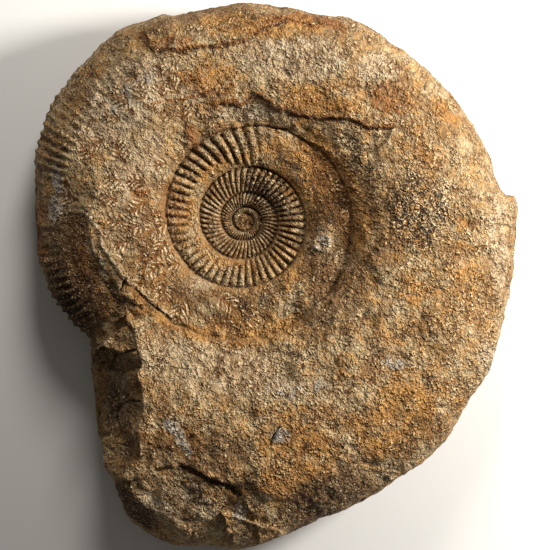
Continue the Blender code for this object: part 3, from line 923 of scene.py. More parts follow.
@dataclass(frozen=True)
class Layer:
    """A broken layer of the stone on the upper flank.

    Args:
        region: where it lies.
        step: how far it stands up at its edge; a negative step is a hollow.
        run: how far the step takes.
        slope: how much it rises for each millimetre inwards.
    """

    region: Region
    step: float
    run: float
    slope: float = 0.0

    def height(self, x: Values, y: Values) -> Values:
        """Give the layer's height."""
        depth = self.region.depth(x, y)
        return self.step * smooth(0.0, self.run, depth) + self.slope * np.maximum(depth, 0.0)


@dataclass(frozen=True)
class BrokenLayers:
    """The layers that have flaked off the upper flank, with ragged edges."""

    top: Layer = Layer(Region(((-62.0, 130.0), *TOP_EDGE, (30.0, 130.0))), 1.3, 0.8)
    worn: Layer = Layer(Region((
        *WORN_EDGE, (44.0, 52.0), (24.0, 54.0), (6.0, 62.0), (-18.0, 65.0),
    )), -1.2, 0.9)
    basin: Layer = Layer(Region((
        (-63.0, -91.0), (-54.0, -85.0), (-44.0, -84.0), (-37.5, -85.0), (-30.0, -89.5),
        (-21.0, -92.5), (-16.0, -97.0), (-9.0, -109.0), (-4.0, -140.0), (-90.0, -140.0), (-90.0, -92.0),
    ), 60.0), -1.3, 0.8, 0.01)
    strip_edge: Ledge = Ledge((
        (-64.0, -12.0), (-69.0, -10.5), (-71.7, -4.6), (-73.5, -1.5), (-78.5, 2.6), (-81.3, 8.8),
        (-83.1, 16.1), (-84.0, 23.2),
    ), 1.4, 0.7, 8.0)
    strip_ridge: Line = Line(STRIP_RIDGE, 1.5, -0.9)
    cream: Ledge = Ledge((
        (-63.5, -8.0), (-64.1, -12.2), (-61.9, -14.4), (-57.9, -17.9), (-51.7, -21.4), (-40.7, -26.3),
        (-27.4, -29.4), (-11.9, -28.5), (3.5, -22.8),
    ), 0.8, 0.8, 9.0)
    crest: Line = Line((
        (-68.3, -89.1), (-65.0, -98.5), (-55.0, -105.5), (-48.4, -108.0), (-44.0, -111.0), (-38.5, -116.5),
        (-25.2, -116.0),
    ), 8.0, -1.1, 12.0)
    undercut: Layer = Layer(Region((
        (-70.0, -88.0), (-66.5, -95.5), (-55.0, -105.5), (-45.0, -110.0), (-40.0, -116.0),
        (-33.5, -118.5), (-28.0, -114.0), (-20.0, -114.0), (-20.0, -140.0), (-90.0, -140.0),
        (-90.0, -90.0),
    ), 60.0), -0.8, 0.8, -1.10)
    plates: Layer = Layer(Region((
        (-25.0, -104.0), (-12.0, -107.5), (3.0, -113.0), (4.0, -119.0), (-9.5, -123.0), (-22.0, -121.0),
    )), 3.2, 1.0)
    ragged_size: float = 6.0
    ragged: float = 0.9

    def ragged_place(self, x: Values, y: Values) -> tuple[Values, Values]:
        """Shift places a little, so that straight edges come out ragged."""
        return strayed(x, y, self.ragged, self.ragged_size, (11, 23), 3)

    def height(self, x: Values, y: Values) -> Values:
        """Give the steps of all the layers together.

        Args:
            x, y: places in millimetres.

        Returns:
            The height in millimetres.
        """
        place = self.ragged_place(x, y)
        layers = (self.top, self.worn, self.basin, self.undercut, self.plates, self.cream, self.crest,
                  self.strip_edge, self.strip_ridge)
        return sum(layer.height(*place) for layer in layers)


@dataclass(frozen=True)
class Bump:
    """A small knob, or with a negative rise a pit."""

    x: float
    y: float
    radius: float
    rise: float

    def height(self, x: Values, y: Values) -> Values:
        """Give the bump's height."""
        return self.rise * (1.0 - smooth(0.0, self.radius, np.hypot(x - self.x, y - self.y)))


@dataclass(frozen=True)
class Encrusters:
    """The knobs, the pits and the small oyster on the upper flank."""

    bumps: tuple[Bump, ...] = (
        Bump(13.5, 113.0, 3.0, 1.6), Bump(19.5, 111.0, 2.6, 1.4), Bump(39.5, -52.0, 2.2, 1.0),
        Bump(103.5, 33.0, 3.5, 1.4), Bump(-30.0, 62.0, 5.5, 0.7), Bump(42.5, -51.5, 3.6, -1.3),
        Bump(51.0, -86.0, 4.5, -1.0), Bump(47.5, -91.0, 3.0, -0.9), Bump(41.0, 59.5, 3.2, -0.8),
        Bump(-20.0, -101.0, 4.0, -1.2), Bump(Coil.axis_x, Coil.axis_y, 3.8, 1.2),
    )
    oyster_x: float = 20.0
    oyster_y: float = 13.5
    oyster_radius: float = 4.6
    oyster_height: float = 0.9
    oyster_dish: float = 0.7
    rim_start: float = 0.8
    rim_end: float = 1.15
    bowl_start: float = 0.2
    bowl_end: float = 0.75

    def oyster_share(self, x: Values, y: Values) -> Values:
        """Give the distance from the oyster's middle as a share of its radius."""
        return np.hypot(x - self.oyster_x, y - self.oyster_y) / self.oyster_radius

    def height(self, x: Values, y: Values) -> Values:
        """Give the height of all the small things together.

        Args:
            x, y: places in millimetres.

        Returns:
            The height in millimetres.
        """
        share = self.oyster_share(x, y)
        height = sum(bump.height(x, y) for bump in self.bumps)
        height = height + self.oyster_height * (1.0 - smooth(self.rim_start, self.rim_end, share))
        return height - self.oyster_dish * (1.0 - smooth(self.bowl_start, self.bowl_end, share))


@dataclass(frozen=True)
class Cracks:
    """The cracks in the upper flank, their width and depth in millimetres."""

    lines: tuple[Line, ...] = (
        Line(((-43.0, -84.2), (-37.5, -85.2), (-30.0, -89.6), (-21.0, -92.8), (-16.5, -97.0)), 1.0, 1.0),
        Line(((1.0, -67.5), (-1.5, -72.0), (-2.8, -75.0)), 0.8, 0.9),
        Line(((-66.5, -2.0), (-67.5, -4.5), (-69.0, -7.5)), 0.8, 1.0),
        Line(((28.3, 99.0), (30.5, 97.5), (32.0, 95.8)), 0.5, 0.4),
        Line(((35.0, 92.0), (37.0, 90.0)), 0.5, 0.4),
        Line(((39.0, 84.5), (39.4, 83.0), (38.5, 81.0)), 0.45, 0.4),
        Line(((65.4, 84.5), (64.5, 82.6), (64.3, 80.6)), 0.5, 0.6),
        Line(((54.0, 48.5), (60.0, 50.0), (67.0, 47.5)), 0.45, 0.4),
        Line(((62.0, 73.0), (65.0, 70.5), (68.0, 69.0)), 0.45, 0.4),
        Line(((-62.0, -33.5), (-66.0, -34.3), (-70.0, -36.0), (-74.5, -41.0)), 0.8, 1.2),
        Line(((-60.5, -55.5), (-66.0, -56.0), (-70.0, -59.5), (-70.5, -66.0)), 0.8, 1.0),
    )

    def distance(self, x: Values, y: Values) -> Values:
        """Give how far the nearest crack's edge is, less than 0 inside a crack.

        Args:
            x, y: places in millimetres.

        Returns:
            The distance in millimetres, and no more than NO_CRACK.
        """
        nearest = np.full(x.shape, NO_CRACK)
        for line in self.lines:
            nearest = np.minimum(nearest, line.distance(x, y) - 0.5 * line.width)
        return nearest

    def height(self, x: Values, y: Values) -> Values:
        """Give how far the cracks are cut in.

        Args:
            x, y: places in millimetres.

        Returns:
            The height in millimetres, 0 or less.
        """
        height = np.zeros(x.shape)
        for line in self.lines:
            height = np.minimum(height, line.height(x, y))
        return height


@dataclass(frozen=True)
class Weathering:
    """The lumps, flakes, pits and broken blocks of the stone's surface."""

    coil: Coil = Coil()
    lump_grades: Corners = ((19.0, 1.1), (8.5, 0.7), (4.2, 0.45), (2.1, 0.30))
    calm_radius: float = 22.0
    worn_radius: float = 34.0
    block_grades: Corners = ((11.0, 1.0), (5.0, 0.7))
    block_start: float = 52.0
    block_full: float = 90.0
    flake_size: float = 15.0
    flake_step: float = 0.32
    flake_levels: tuple[float, ...] = (-0.18, 0.08, 0.3)
    flake_edge: float = 0.018
    pit_size: float = 5.0
    pit_depth: float = 0.75
    pit_rarity: float = -0.2
    pit_floor: float = 0.1
    pit_edge: float = 0.42
    worn_start: float = 34.0
    worn_full: float = 44.0
    slab_size: float = 13.0
    slab_step: float = 0.6
    joint_width: float = 0.1
    joint_depth: float = 0.4

    def lumps(self, points: Values) -> Values:
        """Give the lumps of every grade.

        Args:
            points: places (3, N) in millimetres.

        Returns:
            The height in millimetres.
        """
        radius = self.coil.radius(points[0], points[1])
        wear = smooth(self.calm_radius, self.worn_radius, radius)
        total = np.zeros(points.shape[1])
        for seed, (size, rise) in enumerate(self.lump_grades):
            total += rise * wear * lumps(points, size, seed)
        return total

    def flakes(self, x: Values, y: Values) -> Values:
        """Give the low steps that thin flakes leave.

        Args:
            x, y: places in millimetres.

        Returns:
            The height in millimetres.
        """
        field = rough_lumps(x, y, self.flake_size, 61, 4)
        steps = sum(smooth(level, level + self.flake_edge, field) for level in self.flake_levels)
        return self.flake_step * (steps - 0.5 * len(self.flake_levels))

    def pits(self, x: Values, y: Values) -> Values:
        """Give how far scattered pits are cut in.

        Args:
            x, y: places in millimetres.

        Returns:
            The height in millimetres, 0 or less.
        """
        points = np.stack((x, y, np.zeros(x.shape)))
        nearest, _, own = cells(points, self.pit_size, 71)
        rare = smooth(self.pit_rarity, 1.0, own)
        return -self.pit_depth * rare * (1.0 - smooth(self.pit_floor, self.pit_edge, nearest))

    def blocks(self, points: Values) -> Values:
        """Give the broken mouth's blocks: lumps, and slabs that stand a step apart.

        Args:
            points: places (3, N) in millimetres.

        Returns:
            The height in millimetres.
        """
        total = np.zeros(points.shape[1])
        for seed, (size, rise) in enumerate(self.block_grades):
            total += rise * lumps(points, size, seed + 3)
        nearest, second, own = cells(points, self.slab_size, 83)
        joint = 1.0 - smooth(0.0, self.joint_width, second - nearest)
        return total + self.slab_step * own - self.joint_depth * joint


@dataclass(frozen=True)
class StoneForm:
    """The whole stone: where each point of the sphere goes."""

    whorls: Whorls = Whorls()
    ribs: Ribs = Ribs()
    seams: Seams = Seams()
    layers: BrokenLayers = BrokenLayers()
    encrusters: Encrusters = Encrusters()
    cracks: Cracks = Cracks()
    weathering: Weathering = Weathering()
    mid_height: float = 23.8
    lean_x: float = 0.012
    lean_y: float = -0.024
    foot_azimuths: tuple[float, float, float, float] = (78.0, 112.0, 140.0, 147.0)
    foot_drop: float = 12.0
    foot_rounding: float = 3.0
    sound_rounding: float = 0.4
    upper_share: float = 0.74
    face_run: float = 2.4
    face_start: float = 68.0
    pole_margin: float = 0.0004
    row_steps: int = 4001
    core_spacing: float = 0.0022
    flank_spacing: float = 0.0012
    flank_shares: tuple[float, float] = (0.05, 0.12)
    rim_spacing: float = 0.0014
    rim_shares: tuple[float, float] = (0.35, 0.5)
    edge_spacing: float = 0.011
    column_steps: int = 721

    def mid_plane(self, x: Values, y: Values) -> Values:
        """Give the height of the coil's mid-plane over the resting surface."""
        return self.mid_height + self.lean_x * x + self.lean_y * y

    def reach(self, share: Values) -> Values:
        """Spread the rows of points: close in the umbilicus and at the outer edge, wider between.

        Args:
            share: from 0 at the pole to 1 at the outer edge, evenly spaced.

        Returns:
            The radius as a share of the outer edge's.
        """
        steps = np.linspace(0.0, 1.0, self.row_steps)
        middle = 0.5 * (steps[1:] + steps[:-1])
        spacing = self.core_spacing + self.flank_spacing * smooth(*self.flank_shares, middle)
        spacing = spacing + self.rim_spacing * smooth(*self.rim_shares, middle)
        spacing = np.minimum(spacing, self.edge_spacing * np.sqrt(1.0 - middle))
        count = np.concatenate(((0.0,), np.cumsum(np.diff(steps) / spacing)))
        return np.interp(share, count / count[-1], steps)

    def even_azimuth(self, azimuth: Values) -> Values:
        """Spread the columns of points evenly along the outer edge.

        Args:
            azimuth: evenly spaced azimuths in degrees.

        Returns:
            The azimuths of columns that are evenly far apart.
        """
        steps = np.linspace(0.0, FULL_TURN, self.column_steps)
        run = np.cumsum(self.whorls.outline.radius(0.5 * (steps[1:] + steps[:-1])))
        run = np.concatenate(((0.0,), run)) * FULL_TURN / run[-1]
        return np.interp(azimuth, run, steps)

    def bare(self, azimuth: Values, polar: Values) -> Values:
        """Carry points of the sphere to the fossil's form before its ribs and weathering.

        Args:
            azimuth: degrees from +X, clockwise seen from above, before they are spread.
            polar: 0 at the middle of the upper flank and 1 at the middle of the lower one.

        Returns:
            Points (3, N) in millimetres.
        """
        coil = self.whorls.coil
        upper = polar <= self.upper_share
        share = np.where(upper, polar / self.upper_share, (1.0 - polar) / (1.0 - self.upper_share))
        turn = self.even_azimuth(azimuth)
        edge = self.whorls.outline.radius(turn)
        radius = self.reach(np.clip(share, self.pole_margin, 1.0)) * edge
        x = coil.axis_x + radius * np.cos(np.radians(turn))
        y = coil.axis_y - radius * np.sin(np.radians(turn))
        level = self.whorls.level(x, y, radius, turn, upper)
        level = level + np.where(upper, self.layers.height(x, y), 0.0)
        start, full, fade, gone = self.foot_azimuths
        foot = smooth(start, full, turn) * (1.0 - smooth(fade, gone, turn))
        rounding = self.sound_rounding + (self.foot_rounding - self.sound_rounding) * foot
        middle = self.mid_plane(x, y)
        rim = middle - self.foot_drop * foot
        side = np.where(upper, 1.0, -1.0)
        level = np.maximum(level, side * (rim - middle))
        lift = self.whorls.rounded((edge - radius) / rounding)
        return np.stack((x, y, rim + (middle + side * level - rim) * lift))

    def relief(self, points: Values, upper: Values) -> Values:
        """Give how far each point of the bare form is raised: ribs, small things and weathering.

        Args:
            points: points (3, N) of the bare form in millimetres.
            upper: whether each point is on the upper side.

        Returns:
            The raise in millimetres along the outward direction.
        """
        x, y = points[0], points[1]
        coil = self.whorls.coil
        radius, azimuth = coil.radius(x, y), coil.azimuth(x, y)
        weather = self.weathering
        relief = self.ribs.inner(radius, azimuth) + self.ribs.rim(radius, azimuth)
        relief = relief + self.seams.height(radius, azimuth)
        relief = relief + weather.lumps(points)
        top = np.flatnonzero(upper)
        relief[top] += self.top_relief(x[top], y[top], radius[top])
        face = smooth(0.0, self.face_run, self.whorls.mouth.beyond(x, y, upper))
        face = face * smooth(weather.block_start, weather.block_full, radius)
        face = face * (azimuth < self.whorls.lost_end) * (azimuth > self.face_start)
        broken = np.flatnonzero(face > 0.0)
        relief[broken] += face[broken] * weather.blocks(points[:, broken])
        return relief

    def top_relief(self, x: Values, y: Values, radius: Values) -> Values:
        """Give the relief that only the upper flank has.

        Args:
            x, y: places in millimetres.
            radius: their distances from the coil's axis.

        Returns:
            The height in millimetres.
        """
        place = self.layers.ragged_place(x, y)
        weather = self.weathering
        worn = smooth(weather.worn_start, weather.worn_full, radius)
        height = self.encrusters.height(x, y) + self.cracks.height(*place)
        return height + worn * (weather.flakes(x, y) + weather.pits(x, y))


# The stone's staining, painted shadows, painted highlight and markings, as weights that the stone's finish
# reads.


class Stain(Enum):
    """What colours the stone: its staining, and the painted shade and painted highlight laid on it."""

    RUST = "rust"
    OCHRE = "ochre"
    PALE = "pale"
    GREY = "grey"
    DARK = "dark"
    UMBER = "umber"


STAIN_LAYERS = {
    "stains_and_highlight": (Stain.RUST, Stain.OCHRE, Stain.PALE),
    "soils_and_shade": (Stain.GREY, Stain.DARK, Stain.UMBER),
}


@dataclass(frozen=True)
class Staining:
    """Where each stain lies on the upper flank, and where shade and a highlight are painted on it."""

    patches: tuple[tuple[Stain, tuple[Patch, ...]], ...] = (
        (Stain.OCHRE, (
            Patch(-5.3, 109.0, 31.0, 7.0, 0.75), Patch(19.0, 74.5, 22.0, 9.0, 0.75, -5.0),
            Patch(72.0, 70.9, 12.0, 5.0, 0.7, -30.0), Patch(24.0, 36.0, 34.0, 14.0, 0.9, -66.0),
            Patch(-55.2, -6.0, 22.0, 13.0, 0.65, -45.0), Patch(-10.6, -21.9, 20.0, 9.0, 0.75),
            Patch(53.0, -62.5, 24.0, 20.0, 0.75, 40.0), Patch(-42.9, -73.6, 16.0, 7.0, 0.75),
            Patch(7.0, -80.2, 24.0, 24.0, 0.7), Patch(59.7, -7.3, 7.5, 7.5, 0.7),
            Patch(84.0, 4.0, 26.0, 9.0, 0.45, 86.0), Patch(-33.0, 86.0, 22.0, 9.0, 0.55),
            Patch(-14.0, 22.0, 46.0, 44.0, 0.5),
        )),
        (Stain.RUST, (
            Patch(-46.0, 101.9, 13.0, 3.5, 0.6, 10.0), Patch(49.9, 76.2, 13.0, 9.0, 0.6, -20.0),
            Patch(-37.6, 57.7, 4.5, 8.0, 0.7), Patch(24.0, 40.0, 20.0, 8.0, 0.5, -62.0),
            Patch(-84.0, -1.0, 26.0, 7.0, 0.75, -70.0), Patch(-105.0, 18.0, 18.0, 3.5, 0.8, 90.0),
            Patch(-60.8, 36.5, 4.5, 4.5, 1.0), Patch(-57.0, 20.0, 10.0, 26.0, 0.5, 8.0),
            Patch(-38.5, 85.5, 14.0, 4.5, 0.5, -8.0), Patch(-27.0, 80.0, 9.0, 5.0, 0.6),
            Patch(-47.0, 22.0, 7.0, 22.0, 0.6),
        )),
        (Stain.PALE, (
            Patch(97.0, 11.0, 30.0, 6.0, 0.6, 95.0), Patch(-67.2, 74.9, 28.0, 16.0, 0.85, 45.0),
            Patch(7.0, 94.0, 28.0, 11.0, 0.8), Patch(-62.0, 46.0, 22.0, 13.0, 0.55, 60.0),
            Patch(-14.1, 70.9, 15.0, 4.5, 0.95), Patch(-24.0, -42.0, 46.0, 14.0, 0.5, -10.0),
            Patch(20.0, 13.5, 9.5, 7.5, 0.52), Patch(-31.8, -4.6, 7.0, 4.5, 0.6),
            Patch(92.4, -38.2, 5.0, 11.0, 0.7), Patch(-52.0, -103.0, 16.0, 4.5, 0.8, -40.0),
            Patch(-34.0, -101.0, 13.0, 6.0, 0.6, -28.0), Patch(-42.0, 79.0, 12.0, 8.0, 0.6),
            Patch(44.0, 88.0, 13.0, 10.0, 0.6, -30.0), Patch(-70.5, -44.0, 4.5, 8.0, 0.5),
            Patch(-79.5, 8.0, 14.0, 2.5, 0.9, -66.0),
        )),
        (Stain.GREY, (
            Patch(20.0, 13.2, 3.6, 3.0, 0.5), Patch(-64.0, 79.0, 20.0, 4.0, 0.6, 42.0),
            Patch(-97.0, 34.0, 15.0, 3.5, 0.75, 84.0), Patch(-44.0, -71.0, 11.0, 4.6, 0.8, -48.0),
            Patch(0.8, -71.0, 5.0, 4.2, 0.6, 60.0), Patch(-15.5, -104.5, 4.0, 3.0, 1.0, -50.0),
            Patch(5.0, -51.5, 9.0, 6.0, 0.45), Patch(19.0, -48.5, 5.0, 4.5, 0.5),
            Patch(52.0, -38.5, 8.0, 4.5, 0.5, -20.0),
        )),
        (Stain.DARK, (
            Patch(2.5, -84.0, 5.0, 7.0, 0.8), Patch(26.0, -75.0, 6.0, 5.0, 0.7),
            Patch(-8.0, -90.0, 8.0, 5.0, 0.8), Patch(50.0, -87.0, 6.0, 6.0, 0.65),
            Patch(62.0, 27.0, 20.0, 16.0, 0.95, 90.0), Patch(-14.0, -15.5, 4.0, 7.0, 0.8),
            Patch(-34.0, -95.0, 20.0, 5.0, 0.62, -28.0), Patch(-73.0, -60.0, 6.0, 13.0, 0.75),
            Patch(-66.0, -80.0, 5.0, 10.0, 0.65), Patch(-6.0, 37.5, 15.0, 8.5, 1.0, -60.0),
            Patch(36.0, 52.0, 20.0, 5.0, 0.7, -50.0),
        )),
        (Stain.UMBER, (
            # Most umber patches are stains. The one at (-66, -104) is painted shade on the foot below the
            # broken crest. The one at (-13, 25) round the coil's axis is partly umber stain and partly
            # painted shade of the umbilicus.
            Patch(23.0, 12.0, 40.0, 13.0, 0.6, 84.0), Patch(-90.0, -10.0, 24.0, 13.0, 0.8, -60.0),
            Patch(-70.3, -55.0, 11.0, 18.0, 0.5), Patch(62.0, -72.0, 16.0, 9.0, 0.5, 40.0),
            Patch(20.0, 1.0, 13.0, 8.0, 0.4), Patch(-66.0, -104.0, 14.0, 16.0, 0.9, 40.0),
            Patch(-13.0, 25.0, 24.0, 24.0, 0.52), Patch(-94.5, 18.0, 12.0, 22.0, 0.62),
            Patch(20.0, -98.0, 26.0, 12.0, 0.72, 20.0), Patch(-32.0, -77.0, 30.0, 10.0, 0.58),
            Patch(-74.0, -30.0, 11.0, 7.0, 0.52), Patch(-23.0, -12.0, 32.0, 11.0, 0.6, -10.0),
            Patch(-62.0, 15.0, 14.0, 26.0, 0.5, 10.0),
        )),
    )
    lines: tuple[tuple[Stain, tuple[Line, ...]], ...] = (
        (Stain.RUST, (
            Line(WORN_EDGE, 2.2),
            Line(TOP_EDGE, 1.7),
            Line(((-57.5, 74.0), (-45.0, 76.0), (-31.8, 78.9)), 1.3),
            Line(((-5.0, 110.0), (8.0, 114.0), (20.0, 112.0), (30.0, 108.0)), 4.0),
        )),
        (Stain.UMBER, (
            # Painted shadows: the umber lines below the top and worn ledges, along the basin's crack, and
            # beside the strip's outer edge.
            Line(((-60.0, 104.5), *shaded(TOP_EDGE[1:8])), 1.3),
            Line(((-18.0, 73.5), *shaded(WORN_EDGE[3:])), 0.9),
            Line(((-40.5, 67.0), (-40.0, 57.0), (-38.0, 54.0)), 2.0),
            Line(((-43.0, -84.5), (-37.5, -86.0), (-30.0, -90.0), (-21.0, -93.5), (-16.5, -98.0)), 2.2),
            Line((
                (-86.0, 24.0), (-84.6, 16.0), (-82.8, 8.0), (-80.0, 1.6), (-75.0, -3.0), (-72.5, -8.0),
                (-69.5, -13.0),
            ), 2.6),
        )),
        # The pale line along the strip's ridge is a painted highlight, where the ridge faces the key light.
        (Stain.PALE, (Line(STRIP_RIDGE, 1.6),)),
        (Stain.OCHRE, (Line((
            (-65.0, -5.0), (-55.0, -15.0), (-45.0, -22.0), (-25.0, -30.0), (-6.0, -26.0), (8.0, -20.0),
        ), 7.0),)),
    )
    ragged_size: float = 9.0
    ragged: float = 3.5

    def weights(self, x: Values, y: Values, upper: Values, ragged: tuple) -> dict[Stain, Values]:
        """Give each stain's weight at each place, and none on the underside.

        Args:
            x, y: places in millimetres.
            upper: the upper side's share, from 0 to 1.
            ragged: the places as the broken layers shift them, for stains along their edges.

        Returns:
            The weights, by stain.
        """
        strayed_place = strayed(x, y, self.ragged, self.ragged_size, (101, 131), 4)
        weights = {stain: np.zeros(x.shape) for stain in Stain}
        for stain, patches in self.patches:
            for patch in patches:
                weights[stain] = np.maximum(weights[stain], patch.weight(*strayed_place))
        for stain, lines in self.lines:
            for line in lines:
                near = 1.0 - smooth(0.0, line.width, line.distance(*ragged))
                weights[stain] = np.maximum(weights[stain], near)
        return {stain: weight * upper for stain, weight in weights.items()}


@dataclass(frozen=True)
class Markings:
    """The sutures' leafy marks, the seams' bands and lines, and the grooves between ribs, which the finish
    darkens with grime and painted shade.
    """

    form: StoneForm = StoneForm()
    band_width: float = 1.8
    line_width: float = 0.7
    core_groove_boost: float = 1.15
    core_groove_boost_end: float = 12.0
    core_groove_boost_gone: float = 22.0
    bands_end: float = 505.0
    bands_gone: float = 520.0
    bands_start: float = 6.0
    bands_full: float = 12.0
    band_share: float = 0.13
    band_solid: float = 0.8
    band_edge: float = 1.5
    line_core: float = 0.1
    crest_foot: float = 0.5
    suture_turns: tuple[float, float, float] = (-95.0, 165.0, 20.0)
    suture_azimuths: tuple[float, float, float] = (100.0, 235.0, 14.0)
    outer_turns: tuple[float, float, float] = (165.0, 240.0, 14.0)
    outer_radii: tuple[float, float] = (76.0, 86.0)

    def sutures(self, x: Values, y: Values) -> Values:
        """Give how strongly the sutures' leafy marks show.

        Args:
            x, y: places in millimetres.

        Returns:
            The weight, from 0 to 1.
        """
        coil = self.form.whorls.coil
        radius, azimuth = coil.radius(x, y), coil.azimuth(x, y)
        turn = coil.turn(radius, azimuth)
        zone = window(*self.suture_turns, turn) * window(*self.suture_azimuths, azimuth)
        outer = window(*self.outer_turns, turn) * (1.0 - smooth(*self.outer_radii, radius))
        return np.maximum(zone, outer)

    def seams(self, x: Values, y: Values) -> tuple[Values, Values, Values]:
        """Give the smooth bands and the dark lines along the seams, and the inner ribs' crests.

        Args:
            x, y: places in millimetres.

        Returns:
            The three weights, each from 0 to 1.
        """
        coil = self.form.whorls.coil
        radius, azimuth = coil.radius(x, y), coil.azimuth(x, y)
        turn = coil.turn(radius, azimuth)
        inner = coil.seam_radius(turn)
        width = self.band_share * (coil.seam_radius(turn + FULL_TURN) - inner)
        width = np.minimum(width, self.band_width)
        known = smooth(self.bands_start, self.bands_full, radius)
        known = known * (1.0 - smooth(self.bands_end, self.bands_gone, turn))
        band = known * (1.0 - smooth(self.band_solid, self.band_edge, (radius - inner) / width))
        line = 1.0 - smooth(self.line_core, self.line_width, self.form.seams.gap(radius, azimuth))
        crest, strength = self.form.ribs.inner_crest(radius, azimuth)
        return band, line, smooth(self.crest_foot, 1.0, crest) * strength

    def grooves(self, x: Values, y: Values) -> Values:
        """Give how deep each place lies between two ribs.

        Args:
            x, y: places in millimetres.

        Returns:
            The weight, from 0 on a rib to a little over 1.
        """
        coil = self.form.whorls.coil
        radius, azimuth = coil.radius(x, y), coil.azimuth(x, y)
        ribs = self.form.ribs
        crest, strength = ribs.inner_crest(radius, azimuth)
        # Near the core the grooves weigh a little more, so they are painted darker.
        outward = smooth(self.core_groove_boost_end, self.core_groove_boost_gone, radius)
        groove = (1.0 - crest) * strength * (self.core_groove_boost - (self.core_groove_boost - 1.0) * outward)
        rim = ribs.rim_reach(radius, azimuth) * (1.0 - ribs.rim_wave(radius, azimuth))
        return np.maximum(groove, rim)


# The finishes.


class NodeSheet:
    """A material's nodes, added and linked one line at a time."""

    def __init__(self, material: bpy.types.Material) -> None:
        """Start with the material's own Principled shader."""
        self.tree = material.node_tree
        self.shader = self.tree.nodes["Principled BSDF"]

    def node(self, kind: str, inputs: dict | None = None, **settings: object) -> bpy.types.Node:
        """Add a node.

        Args:
            kind: the node's type name.
            inputs: its sockets' values or the sockets that feed them, by name or index.
            settings: its own settings.

        Returns:
            The new node.
        """
        added = self.tree.nodes.new(kind)
        for name, value in settings.items():
            setattr(added, name, value)
        for name, value in (inputs or {}).items():
            self.feed(added.inputs[name], value)
        return added

    def feed(self, socket: bpy.types.NodeSocket, value: object) -> None:
        """Link a socket to another one, or set its value.

        Args:
            socket: the socket to feed.
            value: another socket, or the value to set.
        """
        if isinstance(value, bpy.types.NodeSocket):
            self.tree.links.new(value, socket)
        else:
            socket.default_value = value

    def math(self, operation: str, first: object, second: object = 0.0) -> object:
        """Add a Math node and give its result."""
        return self.node("ShaderNodeMath", {0: first, 1: second}, operation=operation).outputs[0]

    def times(self, first: object, second: object) -> object:
        """Multiply two values."""
        return self.math("MULTIPLY", first, second)

    def plus(self, first: object, second: object) -> object:
        """Add two values."""
        return self.math("ADD", first, second)

    def less(self, first: object, second: object) -> object:
        """Subtract the second value from the first."""
        return self.math("SUBTRACT", first, second)

    def weighted(self, parts: tuple[tuple[object, float], ...]) -> object:
        """Give the sum of some values, each multiplied by its factor.

        Args:
            parts: each value with its factor.

        Returns:
            The sum.
        """
        total = self.times(*parts[0])
        for value, factor in parts[1:]:
            node = self.node("ShaderNodeMath", {0: value, 1: factor, 2: total}, operation="MULTIPLY_ADD")
            total = node.outputs[0]
        return total

    def vector(self, operation: str, first: object, second: object = (0.0, 0.0, 0.0)) -> object:
        """Add a Vector Math node and give its result."""
        node = self.node("ShaderNodeVectorMath", {0: first, 1: second}, operation=operation)
        return node.outputs["Value" if operation == "DOT_PRODUCT" else "Vector"]

    def ramp(self, value: object, low: float, high: float, least: float = 0.0, most: float = 1.0) -> object:
        """Give a smooth rise.

        Args:
            value: the value to judge.
            low, high: where the rise starts and ends.
            least, most: what it gives there.

        Returns:
            The value on the rise.
        """
        node = self.node(
            "ShaderNodeMapRange",
            {"Value": value, "From Min": low, "From Max": high, "To Min": least, "To Max": most},
            interpolation_type="SMOOTHSTEP",
        )
        return node.outputs["Result"]

    def noise(self, place: object, size: float, detail: float = 3.0, rough: float = 0.55) -> object:
        """Give noise from 0 to 1, with lumps of a size in millimetres."""
        inputs = {"Vector": place, "Scale": 1.0 / (size * MM), "Detail": detail, "Roughness": rough}
        return self.node("ShaderNodeTexNoise", inputs).outputs["Fac"]

    def mix(self, share: object, first: object, second: object, blend: str = "MIX") -> object:
        """Mix two colours.

        Args:
            share: how far the second one is mixed in.
            first, second: the colours.
            blend: the way of mixing.

        Returns:
            The mixed colour.
        """
        node = self.node("ShaderNodeMix", data_type="RGBA", blend_type=blend)
        for index, value in ((0, share), (6, first), (7, second)):
            self.feed(node.inputs[index], value)
        return node.outputs[2]

    def either(self, switch: object, first: object, second: object) -> object:
        """Choose between two values.

        Args:
            switch: 0 for the first one and 1 for the second one.
            first, second: the values.

        Returns:
            The chosen value.
        """
        node = self.node("ShaderNodeMix", data_type="FLOAT")
        for index, value in ((0, switch), (2, first), (3, second)):
            self.feed(node.inputs[index], value)
        return node.outputs[0]

    def sway(self, place: object, source: object, size: float, amount: float, detail: float) -> object:
        """Shift places by noise, so that nothing comes out regular.

        Args:
            place: the places to shift.
            source: the places that the noise reads.
            size: the size of the noise's lumps in millimetres.
            amount: how far places move, in millimetres.
            detail: how many finer grades the noise has.

        Returns:
            The shifted places.
        """
        inputs = {"Vector": source, "Scale": 1.0 / (size * MM), "Detail": detail}
        shift = self.node("ShaderNodeTexNoise", inputs).outputs["Color"]
        shift = self.vector("SUBTRACT", shift, (0.5, 0.5, 0.5))
        return self.vector("ADD", place, self.vector("MULTIPLY", shift, (amount * MM,) * 3))

    def attribute(self, name: str) -> list[object]:
        """Read a mesh attribute.

        Args:
            name: the attribute's name.

        Returns:
            Its three parts.
        """
        read = self.node("ShaderNodeAttribute", attribute_name=name)
        parts = self.node("ShaderNodeSeparateXYZ", {0: read.outputs["Vector"]})
        return list(parts.outputs)


Colour = tuple[float, float, float, float]
Limits = tuple[float, ...]
FLATTENING = (1.0, 1.0, 0.0)
UPRIGHT = (0.0, 0.0, 1.0)


